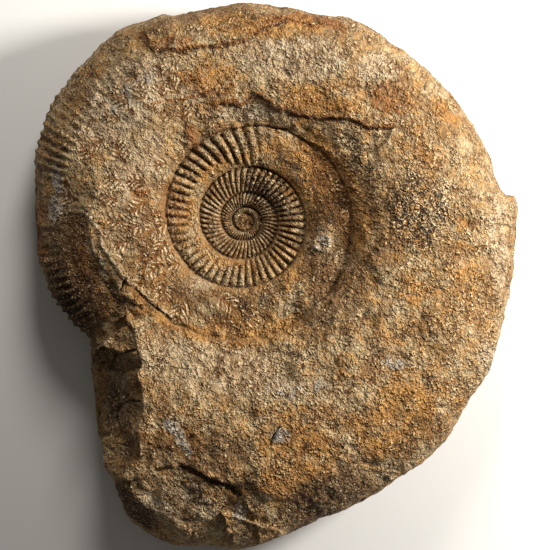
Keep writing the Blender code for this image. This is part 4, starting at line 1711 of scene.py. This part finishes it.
@dataclass(frozen=True)
class StoneFinish:
    """Weathered limestone: knobby grain, tan to ochre, stained by iron and manganese.

    Colours are linear. A noise is its size in millimetres, its detail and its roughness. Limits are the
    value where a ramp starts, the one where it ends and, where they aren't 0 and 1, what it gives there.
    """

    name: str = "weathered_limestone"
    shine: float = 0.3
    cream: Colour = (0.355, 0.258, 0.140, 1.0)
    tan: Colour = (0.27, 0.166, 0.072, 1.0)
    ochre: Colour = (0.33, 0.168, 0.045, 1.0)
    rust: Colour = (0.25, 0.105, 0.026, 1.0)
    pale: Colour = (0.405, 0.318, 0.205, 1.0)
    grey: Colour = (0.35, 0.305, 0.250, 1.0)
    umber: Colour = (0.088, 0.043, 0.012, 1.0)
    speck: Colour = (0.62, 0.48, 0.29, 1.0)
    black: Colour = (0.016, 0.012, 0.008, 1.0)
    band: Colour = (0.215, 0.112, 0.038, 1.0)
    stroke_light: Colour = (0.53, 0.41, 0.25, 1.0)
    stroke_dark: Colour = (0.160, 0.064, 0.011, 1.0)
    stroke_edge: Colour = (0.050, 0.022, 0.007, 1.0)
    # Painted shade for the grain's cavities and painted highlight for its knobs.
    painted_cavity_shade: Colour = (0.44, 0.32, 0.21, 1.0)
    painted_knob_highlight: Colour = (1.40, 1.41, 1.41, 1.0)
    calm_tone: Colour = (0.96, 0.95, 0.93, 1.0)
    cloud_dark: Colour = (0.90, 0.84, 0.77, 1.0)
    cloud_light: Colour = (1.12, 1.14, 1.16, 1.0)

    noise_axis: tuple[float, float, float] = (0.6, 0.5, 0.62)
    noise_turn: float = 0.9
    grain_noise: Limits = (0.9, 2.0, 0.6)
    lump_noise: Limits = (3.6, 4.0, 0.6)
    calm_noise: Limits = (6.5, 4.0, 0.7)
    mottle_noise: Limits = (7.5, 5.0, 0.62)
    blotch_noise: Limits = (21.0, 5.0, 0.62)
    cloud_noise: Limits = (9.0, 5.0, 0.65)
    worm_noise: Limits = (2.6, 1.0)
    speck_noise: Limits = (0.95, 1.0)
    warp_size: float = 2.2
    warp: float = 1.7
    warp_detail: float = 1.0

    knob_size: float = 1.9
    knob_limits: Limits = (0.85, 0.15)
    worm_limits: Limits = (0.085, 0.0)
    knob_shares: tuple[float, float] = (0.45, 0.55)
    rough_limits: Limits = (0.40, 0.62, 0.3, 1.3)
    rough_crests: Limits = (0.0, 1.0, 1.0, 0.6)
    rough_dark: Limits = (0.3, 0.8, 0.0, 1.25)
    rough_umber: Limits = (0.4, 0.9, 0.0, 1.15)
    rough_bands: Limits = (0.1, 0.8, 1.0, 0.4)
    rough_sutures: Limits = (0.2, 0.8, 1.0, 0.65)
    matt: Limits = (0.3, 0.7, 0.76, 0.94)
    bump_heights: tuple[float, ...] = (2.3, 1.0, 2.6, -0.85, -0.35)
    carved: Limits = (0.2, 0.7, 0.15, 1.0)
    crack_limits: Limits = (0.35, -0.25)
    # How far the cracks are painted black: painted shade in the crevices.
    painted_crack_shade: float = 0.8

    rag: float = 2.2
    blotch_limits: Limits = (0.43, 0.54)
    warm_limits: Limits = (0.49, 0.56)
    warm_share: float = 0.66
    stain_fade: float = 0.3
    rust_fade: float = 0.36
    grey_fade: float = 0.14
    pale_share: float = 0.85
    umber_rag: float = 1.3
    umber_limits: Limits = (0.12, 0.95)
    umber_under_pale: Limits = (0.0, 0.85, 1.0, 0.15)
    fleck_limits: Limits = (0.47, 0.40)
    fleck_share: float = 0.7
    soot_shares: tuple[float, float] = (0.4, 0.6)
    soot_limits: Limits = (0.53, 0.46)
    soot_share: float = 0.9
    light_specks: Limits = (0.60, 0.67, 0.0, 0.75)
    dark_specks: Limits = (0.38, 0.31, 0.0, 0.7)
    tone_shares: tuple[float, float, float] = (0.5, 0.55, 0.45)
    tone_limits: Limits = (0.50, 0.80)
    cloud_limits: Limits = (0.43, 0.57)

    rusty_leaves: Limits = (0.1, 0.5, 0.9, 1.0)
    leaf_zone: Limits = (0.2, 0.6)
    leaf_wear: Limits = (0.34, 0.46, 0.6, 1.0)
    lobe_dark: Limits = (0.45, 0.8, 0.0, 0.95)
    lobe_light: Limits = (0.5, 0.2, 0.0, 0.9)
    lobe_middle: Limits = (0.6, 0.95)
    band_share: float = 0.55
    seam_share: float = 0.85
    crest_wear: Limits = (0.42, 0.62, 0.0, 0.55)
    groove_limits: Limits = (0.4, 0.9)
    groove_wear: Limits = (0.35, 0.6, 0.95, 0.5)
    # Black in the deepest grooves: painted shade.
    painted_groove_shade: Limits = (0.65, 1.1, 0.0, 0.9)

    axis: tuple[float, float, float] = (Coil.axis_x, Coil.axis_y, 0.0)
    leaf_size: float = 9.4
    leaf_scatter: float = 0.8
    leaf_turn: float = 1.8
    leaf_waver_size: float = 4.0
    leaf_waver: float = 3.2
    leaf_waver_detail: float = 2.0
    leaf_reach: float = 3.3
    leaf_end: Limits = (1.25, 1.0)
    leaf_edge: Limits = (0.56, 0.46)
    lobe_pitch: float = 2.4
    lobe_slant: float = 0.95
    lobe_limits: Limits = (0.22, 0.5)
    fan_count: float = 11.0
    fan_share: float = 0.1
    stem: float = 0.5
    stem_edge: float = 1.6

    def build(self) -> bpy.types.Material:
        """Make the material.

        Returns:
            The material.
        """
        material = bpy.data.materials.new(self.name)
        material.use_nodes = True
        sheet = NodeSheet(material)
        level = sheet.node("ShaderNodeTexCoord").outputs["Object"]
        turned = {"Vector": level, "Axis": self.noise_axis, "Angle": self.noise_turn}
        place = sheet.node("ShaderNodeVectorRotate", turned).outputs["Vector"]
        knob = self.knobs(sheet, place)
        grain, lump = sheet.noise(place, *self.grain_noise), sheet.noise(place, *self.lump_noise)
        stains_and_highlight, soils_and_shade = sheet.attribute("stains_and_highlight"), sheet.attribute("soils_and_shade")
        marks, seams = sheet.attribute("marks"), sheet.attribute("seams")
        rough = sheet.ramp(sheet.noise(place, *self.calm_noise), *self.rough_limits)
        for operation, layer, limits in (
            ("MULTIPLY", seams[2], self.rough_crests), ("MAXIMUM", soils_and_shade[1], self.rough_dark),
            ("MAXIMUM", soils_and_shade[2], self.rough_umber), ("MULTIPLY", seams[0], self.rough_bands),
            ("MULTIPLY", marks[1], self.rough_sutures),
        ):
            rough = sheet.math(operation, rough, sheet.ramp(layer, *limits))
        stroke, leaf = self.leaves(sheet, level, place)
        colour = self.stained(sheet, place, (grain, lump), stains_and_highlight, soils_and_shade)
        colour = self.leafed(sheet, colour, (stroke, leaf), lump, (stains_and_highlight[0], marks[1]))
        colour = self.grooved(sheet, colour, lump, marks[0], seams)
        colour = self.sooted(sheet, colour, (grain, lump), soils_and_shade[1])
        colour = self.speckled(sheet, place, colour, rough)
        # Multiply in the painted shade of the grain's cavities and the painted highlight of its knobs.
        tone = self.tone(sheet, place, (knob, grain, lump), rough)
        colour = sheet.mix(1.0, colour, tone, "MULTIPLY")
        # Cracks painted black: painted shade in the crevices.
        crack = sheet.ramp(marks[2], *self.crack_limits)
        colour = sheet.mix(sheet.times(crack, self.painted_crack_shade), colour, self.black)
        stroke = sheet.times(stroke, sheet.times(leaf, sheet.ramp(marks[1], *self.carved)))
        parts = (sheet.times(knob, rough), sheet.times(grain, rough), lump, stroke, crack)
        height = sheet.weighted(tuple(zip(parts, self.bump_heights)))
        bump = sheet.node("ShaderNodeBump", {"Height": height, "Distance": MM, "Strength": 1.0})
        for name, value in (
            ("Base Color", colour), ("Roughness", sheet.ramp(grain, *self.matt)),
            ("Specular IOR Level", self.shine), ("Normal", bump.outputs["Normal"]),
        ):
            sheet.feed(sheet.shader.inputs[name], value)
        return material

    def knobs(self, sheet: NodeSheet, place: object) -> object:
        """Give the knobby grain.

        Args:
            sheet: the material's nodes.
            place: places in metres.

        Returns:
            The grain, from 0 in a hollow to 1 on a knob.
        """
        place = sheet.sway(place, place, self.warp_size, self.warp, self.warp_detail)
        cell = sheet.node("ShaderNodeTexVoronoi", {"Vector": place, "Scale": 1.0 / (self.knob_size * MM)})
        knob = sheet.ramp(cell.outputs["Distance"], *self.knob_limits)
        worm = sheet.less(sheet.noise(place, *self.worm_noise), 0.5)
        worm = sheet.ramp(sheet.math("ABSOLUTE", worm), *self.worm_limits)
        return sheet.weighted(tuple(zip((knob, worm), self.knob_shares)))

    def ragged(self, sheet: NodeSheet, weight: object, noise: object, fade: float) -> object:
        """Break up the edge of a stain's weight by a noise, and fade it over fade each way."""
        shift = sheet.times(sheet.less(noise, 0.5), self.rag)
        return sheet.ramp(sheet.plus(weight, shift), 0.5 - fade, 0.5 + fade)

    def stained(
        self, sheet: NodeSheet, place: object, reliefs: tuple, stains_and_highlight: list, soils_and_shade: list
    ) -> object:
        """Give the stone's colour with its staining, painted shade and painted highlight.

        Args:
            sheet: the material's nodes.
            place: places in metres.
            reliefs: the grain and the lumps, each from 0 to 1.
            stains_and_highlight: the weights of rust, ochre, and pale with the painted highlight.
            soils_and_shade: the weights of grey, dark, and umber with painted shade.

        Returns:
            The colour.
        """
        grain, lump = reliefs
        mottle = sheet.noise(place, *self.mottle_noise)
        blotch = sheet.ramp(sheet.noise(place, *self.blotch_noise), *self.blotch_limits)
        mixed = sheet.plus(sheet.times(mottle, 0.5), sheet.times(lump, 0.5))
        warm = sheet.times(sheet.ramp(mixed, *self.warm_limits), self.warm_share)
        light = sheet.times(self.ragged(sheet, stains_and_highlight[2], mixed, self.stain_fade), self.pale_share)
        brown = sheet.plus(soils_and_shade[2], sheet.times(sheet.less(mixed, 0.5), self.umber_rag))
        brown = sheet.ramp(brown, *self.umber_limits)
        brown = sheet.times(brown, sheet.ramp(light, *self.umber_under_pale))
        grey = self.ragged(sheet, soils_and_shade[0], lump, self.grey_fade)
        flecks = sheet.times(grey, sheet.ramp(grain, *self.fleck_limits))
        colour = self.tan
        for share, stain in (
            (blotch, self.cream), (warm, self.ochre),
            (self.ragged(sheet, stains_and_highlight[1], mottle, self.stain_fade), self.ochre), (light, self.pale),
            (self.ragged(sheet, stains_and_highlight[0], mixed, self.rust_fade), self.rust), (brown, self.umber),
            (grey, self.grey), (sheet.times(flecks, self.fleck_share), self.black),
        ):
            colour = sheet.mix(share, colour, stain)
        return colour

    def leafed(
        self, sheet: NodeSheet, colour: object, leaves: tuple, lump: object, weights: tuple
    ) -> object:
        """Add the sutures' leafy strokes.

        Args:
            sheet: the material's nodes.
            colour: the colour to add them to.
            leaves: the lobes, and how far each place is within a leaf.
            lump: the lumps that wear them away.
            weights: the weights of rust and of the sutures.

        Returns:
            The colour.
        """
        stroke, leaf = leaves
        leafy = sheet.times(sheet.ramp(weights[1], *self.leaf_zone), sheet.ramp(lump, *self.leaf_wear))
        leafy = sheet.times(sheet.times(leafy, sheet.ramp(weights[0], *self.rusty_leaves)), leaf)
        dark = sheet.times(leafy, sheet.ramp(stroke, *self.lobe_dark))
        light = sheet.times(leafy, sheet.ramp(stroke, *self.lobe_light))
        lobe = sheet.mix(sheet.ramp(stroke, *self.lobe_middle), self.stroke_edge, self.stroke_dark)
        return sheet.mix(dark, sheet.mix(light, colour, self.stroke_light), lobe)

    def grooved(
        self, sheet: NodeSheet, colour: object, lump: object, groove: object, seams: list
    ) -> object:
        """Add the seams' bands, the ribs' light crests, and grime with painted shade between the ribs and
        along the seams.

        Args:
            sheet: the material's nodes.
            colour: the colour to add them to.
            lump: the lumps that wear them away.
            groove: how deep each place lies between ribs.
            seams: the weights of the bands, the seams' lines and the crests.

        Returns:
            The colour.
        """
        # Umber grime and painted shade between the ribs and in the seams' lines; the deepest grooves go
        # black as painted shade.
        grime_and_painted_shade = sheet.times(sheet.ramp(groove, *self.groove_limits), sheet.ramp(lump, *self.groove_wear))
        for share, mark in (
            (sheet.times(seams[0], self.band_share), self.band),
            (sheet.times(seams[2], sheet.ramp(lump, *self.crest_wear)), self.stroke_light),
            (grime_and_painted_shade, self.umber), (sheet.ramp(groove, *self.painted_groove_shade), self.black),
            (sheet.times(seams[1], self.seam_share), self.umber),
        ):
            colour = sheet.mix(share, colour, mark)
        return colour

    def sooted(self, sheet: NodeSheet, colour: object, reliefs: tuple, soot: object) -> object:
        """Add the black mineral crumbs in the hollows of the dark patches.

        Args:
            sheet: the material's nodes.
            colour: the colour to add them to.
            reliefs: the grain and the lumps, each from 0 to 1.
            soot: the dark patches' weight.

        Returns:
            The colour.
        """
        grain, lump = reliefs
        lump_share, grain_share = self.soot_shares
        hollow = sheet.plus(sheet.times(lump, lump_share), sheet.times(grain, grain_share))
        crumbs = self.ragged(sheet, soot, lump, self.stain_fade)
        crumbs = sheet.times(crumbs, sheet.ramp(hollow, *self.soot_limits))
        return sheet.mix(sheet.times(crumbs, self.soot_share), colour, self.black)

    def speckled(self, sheet: NodeSheet, place: object, colour: object, rough: object) -> object:
        """Add light crystals and small dark pits, most of them in the rough parts.

        Args:
            sheet: the material's nodes.
            place: places in metres.
            colour: the colour to add them to.
            rough: how rough each place is.

        Returns:
            The colour.
        """
        specks = sheet.noise(place, *self.speck_noise)
        light = sheet.times(sheet.ramp(specks, *self.light_specks), rough)
        dark = sheet.times(sheet.ramp(specks, *self.dark_specks), rough)
        return sheet.mix(dark, sheet.mix(light, colour, self.speck), self.umber)

    def tone(self, sheet: NodeSheet, place: object, reliefs: tuple, rough: object) -> object:
        """Give how light each place is: a warm painted shade in the grain's cavities and a painted
        highlight on its knobs.

        Args:
            sheet: the material's nodes.
            place: places in metres.
            reliefs: the knobs, the grain and the lumps, each from 0 to 1.
            rough: how rough each place is.

        Returns:
            The colour to multiply by.
        """
        field = sheet.weighted(tuple(zip(reliefs, self.tone_shares)))
        # Painted shade in the cavities, painted highlight on the knobs.
        painted_cavity_shade = sheet.mix(sheet.ramp(field, *self.tone_limits), self.painted_cavity_shade, self.painted_knob_highlight)
        cloud = sheet.ramp(sheet.noise(place, *self.cloud_noise), *self.cloud_limits)
        cloud = sheet.mix(cloud, self.cloud_dark, self.cloud_light)
        return sheet.mix(1.0, sheet.mix(rough, self.calm_tone, painted_cavity_shade), cloud, "MULTIPLY")

    def leaves(self, sheet: NodeSheet, level: object, place: object) -> tuple[object, object]:
        """Give the sutures' leaves.

        Each leaf lies in a cell of its own. Its stem points more or less away from the coil's axis, and
        its lobes slant off the stem or fan out round its middle, with gaps that widen outwards.

        Args:
            sheet: the material's nodes.
            level: places in metres.
            place: the same places as the noises read them.

        Returns:
            The lobes, from 0 in a gap to 1 on a lobe, and how far each place is within a leaf.
        """
        flat = sheet.sway(level, place, self.leaf_waver_size, self.leaf_waver, self.leaf_waver_detail)
        flat = sheet.vector("MULTIPLY", flat, FLATTENING)
        inputs = {"Vector": flat, "Scale": 1.0 / (self.leaf_size * MM), "Randomness": self.leaf_scatter}
        leaf = sheet.node("ShaderNodeTexVoronoi", inputs)
        shift = sheet.vector("SUBTRACT", flat, leaf.outputs["Position"])
        outward = tuple(part * MM for part in self.axis)
        outward = sheet.vector("SUBTRACT", leaf.outputs["Position"], outward)
        turn = sheet.vector("SUBTRACT", leaf.outputs["Color"], (0.5, 0.5, 0.5))
        kind = sheet.node("ShaderNodeSeparateXYZ", {0: turn}).outputs[2]
        turn = sheet.vector("MULTIPLY", turn, (self.leaf_turn, self.leaf_turn, 0.0))
        outward = sheet.vector("ADD", sheet.vector("NORMALIZE", outward), turn)
        outward = sheet.vector("NORMALIZE", sheet.vector("MULTIPLY", outward, FLATTENING))
        along = sheet.vector("DOT_PRODUCT", shift, outward)
        sideways = sheet.vector("CROSS_PRODUCT", outward, UPRIGHT)
        sideways = sheet.vector("DOT_PRODUCT", shift, sideways)
        across = sheet.math("ABSOLUTE", sideways)
        fans = sheet.math("GREATER_THAN", kind, self.fan_share)
        pitch = 2.0 * math.pi / (self.lobe_pitch * MM)
        barbs = sheet.weighted(((along, pitch), (across, -self.lobe_slant * pitch)))
        fan = sheet.times(sheet.math("ARCTAN2", sideways, along), self.fan_count)
        wave = sheet.math("SINE", sheet.either(fans, barbs, fan))
        centre = sheet.times(leaf.outputs["Distance"], self.leaf_size * MM)
        share = sheet.math("DIVIDE", sheet.either(fans, across, centre), self.leaf_reach * MM)
        lobe = sheet.ramp(sheet.less(sheet.plus(wave, 1.0), share), *self.lobe_limits)
        stem = sheet.ramp(across, self.stem_edge * self.stem * MM, self.stem * MM)
        edge = sheet.ramp(leaf.outputs["Distance"], *self.leaf_edge)
        return sheet.math("MAXIMUM", lobe, stem), sheet.times(sheet.ramp(share, *self.leaf_end), edge)


@dataclass(frozen=True)
class FloorFinish:
    """A plain pale matt floor."""

    name: str = "pale_floor"
    colour: Colour = (0.72, 0.71, 0.69, 1.0)
    roughness: float = 0.9

    def build(self) -> bpy.types.Material:
        """Make the material.

        Returns:
            The material.
        """
        material = bpy.data.materials.new(self.name)
        material.use_nodes = True
        shader = material.node_tree.nodes["Principled BSDF"]
        shader.inputs["Base Color"].default_value = self.colour
        shader.inputs["Roughness"].default_value = self.roughness
        return material


# The pieces.


@dataclass
class AmmoniteStone:
    """The fossil itself: one closed stone.

    Args:
        form: where its points go.
        staining: where it is stained.
        markings: where its grooves, sutures and cracks show.
        finish: its finish.
        segments: columns of the sphere that it starts from.
        rings: rows of that sphere.
        subdivisions: how often each side is halved.
        triangles: how many triangles the finished mesh may have.
        draft: the columns, rows and triangles of a quick draft; not used.
        side_fade: how far above and below the mid-plane the upper side's stains end.
    """

    form: StoneForm = StoneForm()
    staining: Staining = Staining()
    markings: Markings = Markings()
    finish: StoneFinish = StoneFinish()
    segments: int = 144
    rings: int = 52
    subdivisions: int = 3
    triangles: int = 192000
    draft: tuple[int, int, int] = (96, 36, 120000)
    side_fade: float = 2.0

    def build(self) -> bpy.types.Object:
        """Model the stone and dress it.

        Returns:
            The stone's object.
        """
        stone = self.sphere()
        self.carry(stone)
        self.thin_out(stone)
        self.keep_in_box(stone)
        self.mark(stone)
        stone.data.materials.clear()
        stone.data.materials.append(self.finish.build())
        stone.data.shade_smooth()
        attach(stone, "root")
        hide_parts("ammonite")
        return stone

    def sphere(self) -> bpy.types.Object:
        """Add the sphere that the stone starts from, with its sides halved in place.

        Returns:
            The sphere's object.
        """
        bpy.ops.mesh.primitive_uv_sphere_add(segments=self.segments, ring_count=self.rings, radius=1.0)
        stone = bpy.context.active_object
        stone.name = "ammonite_stone"
        stone.data.name = "ammonite_stone"
        self.settle(stone)
        divider = stone.modifiers.new("grid", "SUBSURF")
        divider.subdivision_type = "SIMPLE"
        divider.levels = divider.render_levels = self.subdivisions
        bpy.ops.object.modifier_apply(modifier=divider.name)
        return stone

    def settle(self, stone: bpy.types.Object) -> None:
        """Put the sphere's edges and faces in a fixed order, because a new primitive's order varies.

        Args:
            stone: the stone's object.
        """
        mesh = bmesh.new()
        mesh.from_mesh(stone.data)
        for parts in (mesh.edges, mesh.faces):
            order = sorted(parts, key=lambda part: sorted(point.index for point in part.verts))
            rank = {part.index: place for place, part in enumerate(order)}
            parts.sort(key=lambda part: rank[part.index])
        mesh.to_mesh(stone.data)
        mesh.free()
        ends = np.empty(len(stone.data.edges) * 2, dtype=np.int32)
        stone.data.edges.foreach_get("vertices", ends)
        stone.data.edges.foreach_set("vertices", np.sort(ends.reshape(-1, 2)).ravel())

    def carry(self, stone: bpy.types.Object) -> None:
        """Carry the sphere's points onto the form and raise its relief.

        Args:
            stone: the stone's object.
        """
        unit = read_points(stone)
        azimuth = np.mod(np.degrees(np.arctan2(-unit[1], unit[0])), FULL_TURN)
        polar = np.arctan2(np.hypot(unit[0], unit[1]), unit[2]) / np.pi
        points = self.form.bare(azimuth, polar)
        write_points(stone, points)
        normals = np.empty(points.size, dtype=np.float32)
        stone.data.vertex_normals.foreach_get("vector", normals)
        normals = normals.reshape(-1, 3).T
        points = points + normals * self.form.relief(points, polar <= self.form.upper_share)
        points[2] = np.maximum(points[2], 0.0)
        write_points(stone, points * MM)

    def thin_out(self, stone: bpy.types.Object) -> None:
        """Reduce the mesh to the triangles it needs, most of them where it is most broken.

        Args:
            stone: the stone's object.
        """
        faces = sum(len(face.vertices) - 2 for face in stone.data.polygons)
        reducer = stone.modifiers.new("thin", "DECIMATE")
        reducer.ratio = min(1.0, self.triangles / faces)
        reducer.use_collapse_triangulate = True
        bpy.ops.object.modifier_apply(modifier=reducer.name)

    def keep_in_box(self, stone: bpy.types.Object) -> None:
        """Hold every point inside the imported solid's box.

        Args:
            stone: the stone's object.
        """
        low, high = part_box("ammonite")
        points = read_points(stone)
        for axis in range(3):
            points[axis] = np.clip(points[axis], low[axis], high[axis])
        write_points(stone, points)

    def mark(self, stone: bpy.types.Object) -> None:
        """Store the staining, the painted shade and highlight, and the markings that the finish reads.

        Args:
            stone: the stone's object.
        """
        points = read_points(stone) / MM
        x, y = points[0], points[1]
        above = points[2] - self.form.mid_plane(x, y)
        upper = smooth(-self.side_fade, self.side_fade, above)
        ragged = self.form.layers.ragged_place(x, y)
        weights = self.staining.weights(x, y, upper, ragged)
        crack = self.form.cracks.distance(*ragged) + NO_CRACK * (1.0 - upper)
        sutures = self.markings.sutures(x, y) * upper
        grooves = self.markings.grooves(x, y)
        for name, kinds in STAIN_LAYERS.items():
            write_attribute(stone, name, tuple(weights[kind] for kind in kinds))
        write_attribute(stone, "marks", (grooves, sutures, crack))
        write_attribute(stone, "seams", tuple(part * upper for part in self.markings.seams(x, y)))


def read_points(item: bpy.types.Object) -> Values:
    """Give a mesh's points (3, N).

    Args:
        item: the mesh's object.

    Returns:
        The points.
    """
    flat = np.empty(len(item.data.vertices) * 3, dtype=np.float32)
    item.data.vertices.foreach_get("co", flat)
    return flat.reshape(-1, 3).T.astype(float)


def write_points(item: bpy.types.Object, points: Values) -> None:
    """Move a mesh's points (3, N)."""
    item.data.vertices.foreach_set("co", points.T.astype(np.float32).ravel())
    item.data.update()


def write_attribute(item: bpy.types.Object, name: str, parts: tuple[Values, Values, Values]) -> None:
    """Store three values at each point of a mesh."""
    layer = item.data.attributes.new(name, "FLOAT_VECTOR", "POINT")
    layer.data.foreach_set("vector", np.stack(parts, axis=1).astype(np.float32).ravel())


@dataclass(frozen=True)
class Lamp:
    """A round studio lamp, aimed at the middle of the stone.

    Args:
        name: what it is called.
        watts: its power.
        size: its diameter in metres.
        distance: how far from the stone it stands.
        azimuth: its direction in degrees, anticlockwise from +X.
        elevation: its height in degrees.
        colour: the colour of its light.
    """

    name: str
    watts: float
    size: float
    distance: float
    azimuth: float
    elevation: float
    colour: tuple[float, float, float] = (1.0, 0.97, 0.92)

    def build(self, height: float) -> None:
        """Add the lamp, aimed at the coil's middle.

        Args:
            height: how high up it is aimed, in metres.
        """
        light = bpy.data.lights.new(self.name, "AREA")
        light.shape = "DISK"
        light.size = self.size
        light.energy = self.watts
        light.color = self.colour
        holder = bpy.data.objects.new(self.name, light)
        bpy.context.scene.collection.objects.link(holder)
        azimuth, elevation = math.radians(self.azimuth), math.radians(self.elevation)
        holder.location = (
            self.distance * math.cos(elevation) * math.cos(azimuth),
            self.distance * math.cos(elevation) * math.sin(azimuth),
            height + self.distance * math.sin(elevation),
        )
        holder.rotation_euler = (0.5 * math.pi - elevation, 0.0, azimuth + 0.5 * math.pi)


@dataclass(frozen=True)
class Studio:
    """A plain pale floor, a soft key light from +X, a weaker one from +Y, a low fill and a camera."""

    floor_finish: FloorFinish = FloorFinish()
    floor_size: float = 6.0
    frame_width: float = 0.2431
    frame_x: float = -0.0009
    frame_y: float = -0.00066
    frame_height: float = 0.030
    lens: float = 300.0
    sensor: float = 36.0
    key: Lamp = Lamp("key", 8.4, 0.16, 0.60, 18.0, 25.0)
    side: Lamp = Lamp("side", 2.6, 0.24, 0.60, 88.0, 38.0)
    fill_colour: Colour = (1.0, 0.95, 0.88, 1.0)
    fill_strength: float = 0.12

    def build(self) -> None:
        """Add the floor, the lights and the camera."""
        self.floor()
        self.key.build(self.frame_height)
        self.side.build(self.frame_height)
        self.fill()
        self.camera()

    def floor(self) -> None:
        """Add the floor under the stone."""
        bpy.ops.mesh.primitive_plane_add(size=self.floor_size)
        floor = bpy.context.active_object
        floor.name = "floor"
        floor.data.materials.append(self.floor_finish.build())
        floor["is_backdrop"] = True

    def fill(self) -> None:
        """Add the low fill from all round."""
        world = bpy.data.worlds.new("fill")
        world.use_nodes = True
        background = world.node_tree.nodes["Background"]
        background.inputs["Color"].default_value = self.fill_colour
        background.inputs["Strength"].default_value = self.fill_strength
        bpy.context.scene.world = world

    def camera(self) -> None:
        """Add the camera, far enough off for its long lens to take in the stone."""
        camera = bpy.data.cameras.new("camera")
        camera.lens = self.lens
        camera.sensor_width = self.sensor
        holder = bpy.data.objects.new("camera", camera)
        bpy.context.scene.collection.objects.link(holder)
        distance = self.frame_width * self.lens / self.sensor
        holder.location = (self.frame_x, self.frame_y, self.frame_height + distance)
        bpy.context.scene.camera = holder


def write_size() -> None:
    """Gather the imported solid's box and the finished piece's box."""
    def plain(value: object) -> object:
        """Give a box as plain lists of numbers."""
        return [plain(part) for part in value] if hasattr(value, "__len__") else float(value)

    {"cad": plain(CAD_BOUNDS), "visual": plain(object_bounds())}


def main() -> None:
    """Build every piece in order and report each one."""
    logging.basicConfig(level=logging.INFO, format="%(message)s")
    bpy.ops.object.select_all(action="DESELECT")
    bpy.context.scene.view_settings.view_transform = "Standard"
    stone = AmmoniteStone().build()
    LOG.info("%s: %d triangles", stone.name, len(stone.data.polygons))
    Studio().build()
    LOG.info("studio: floor, two lamps, fill and camera")
    write_size()


if __name__ == "__main__":
    main()
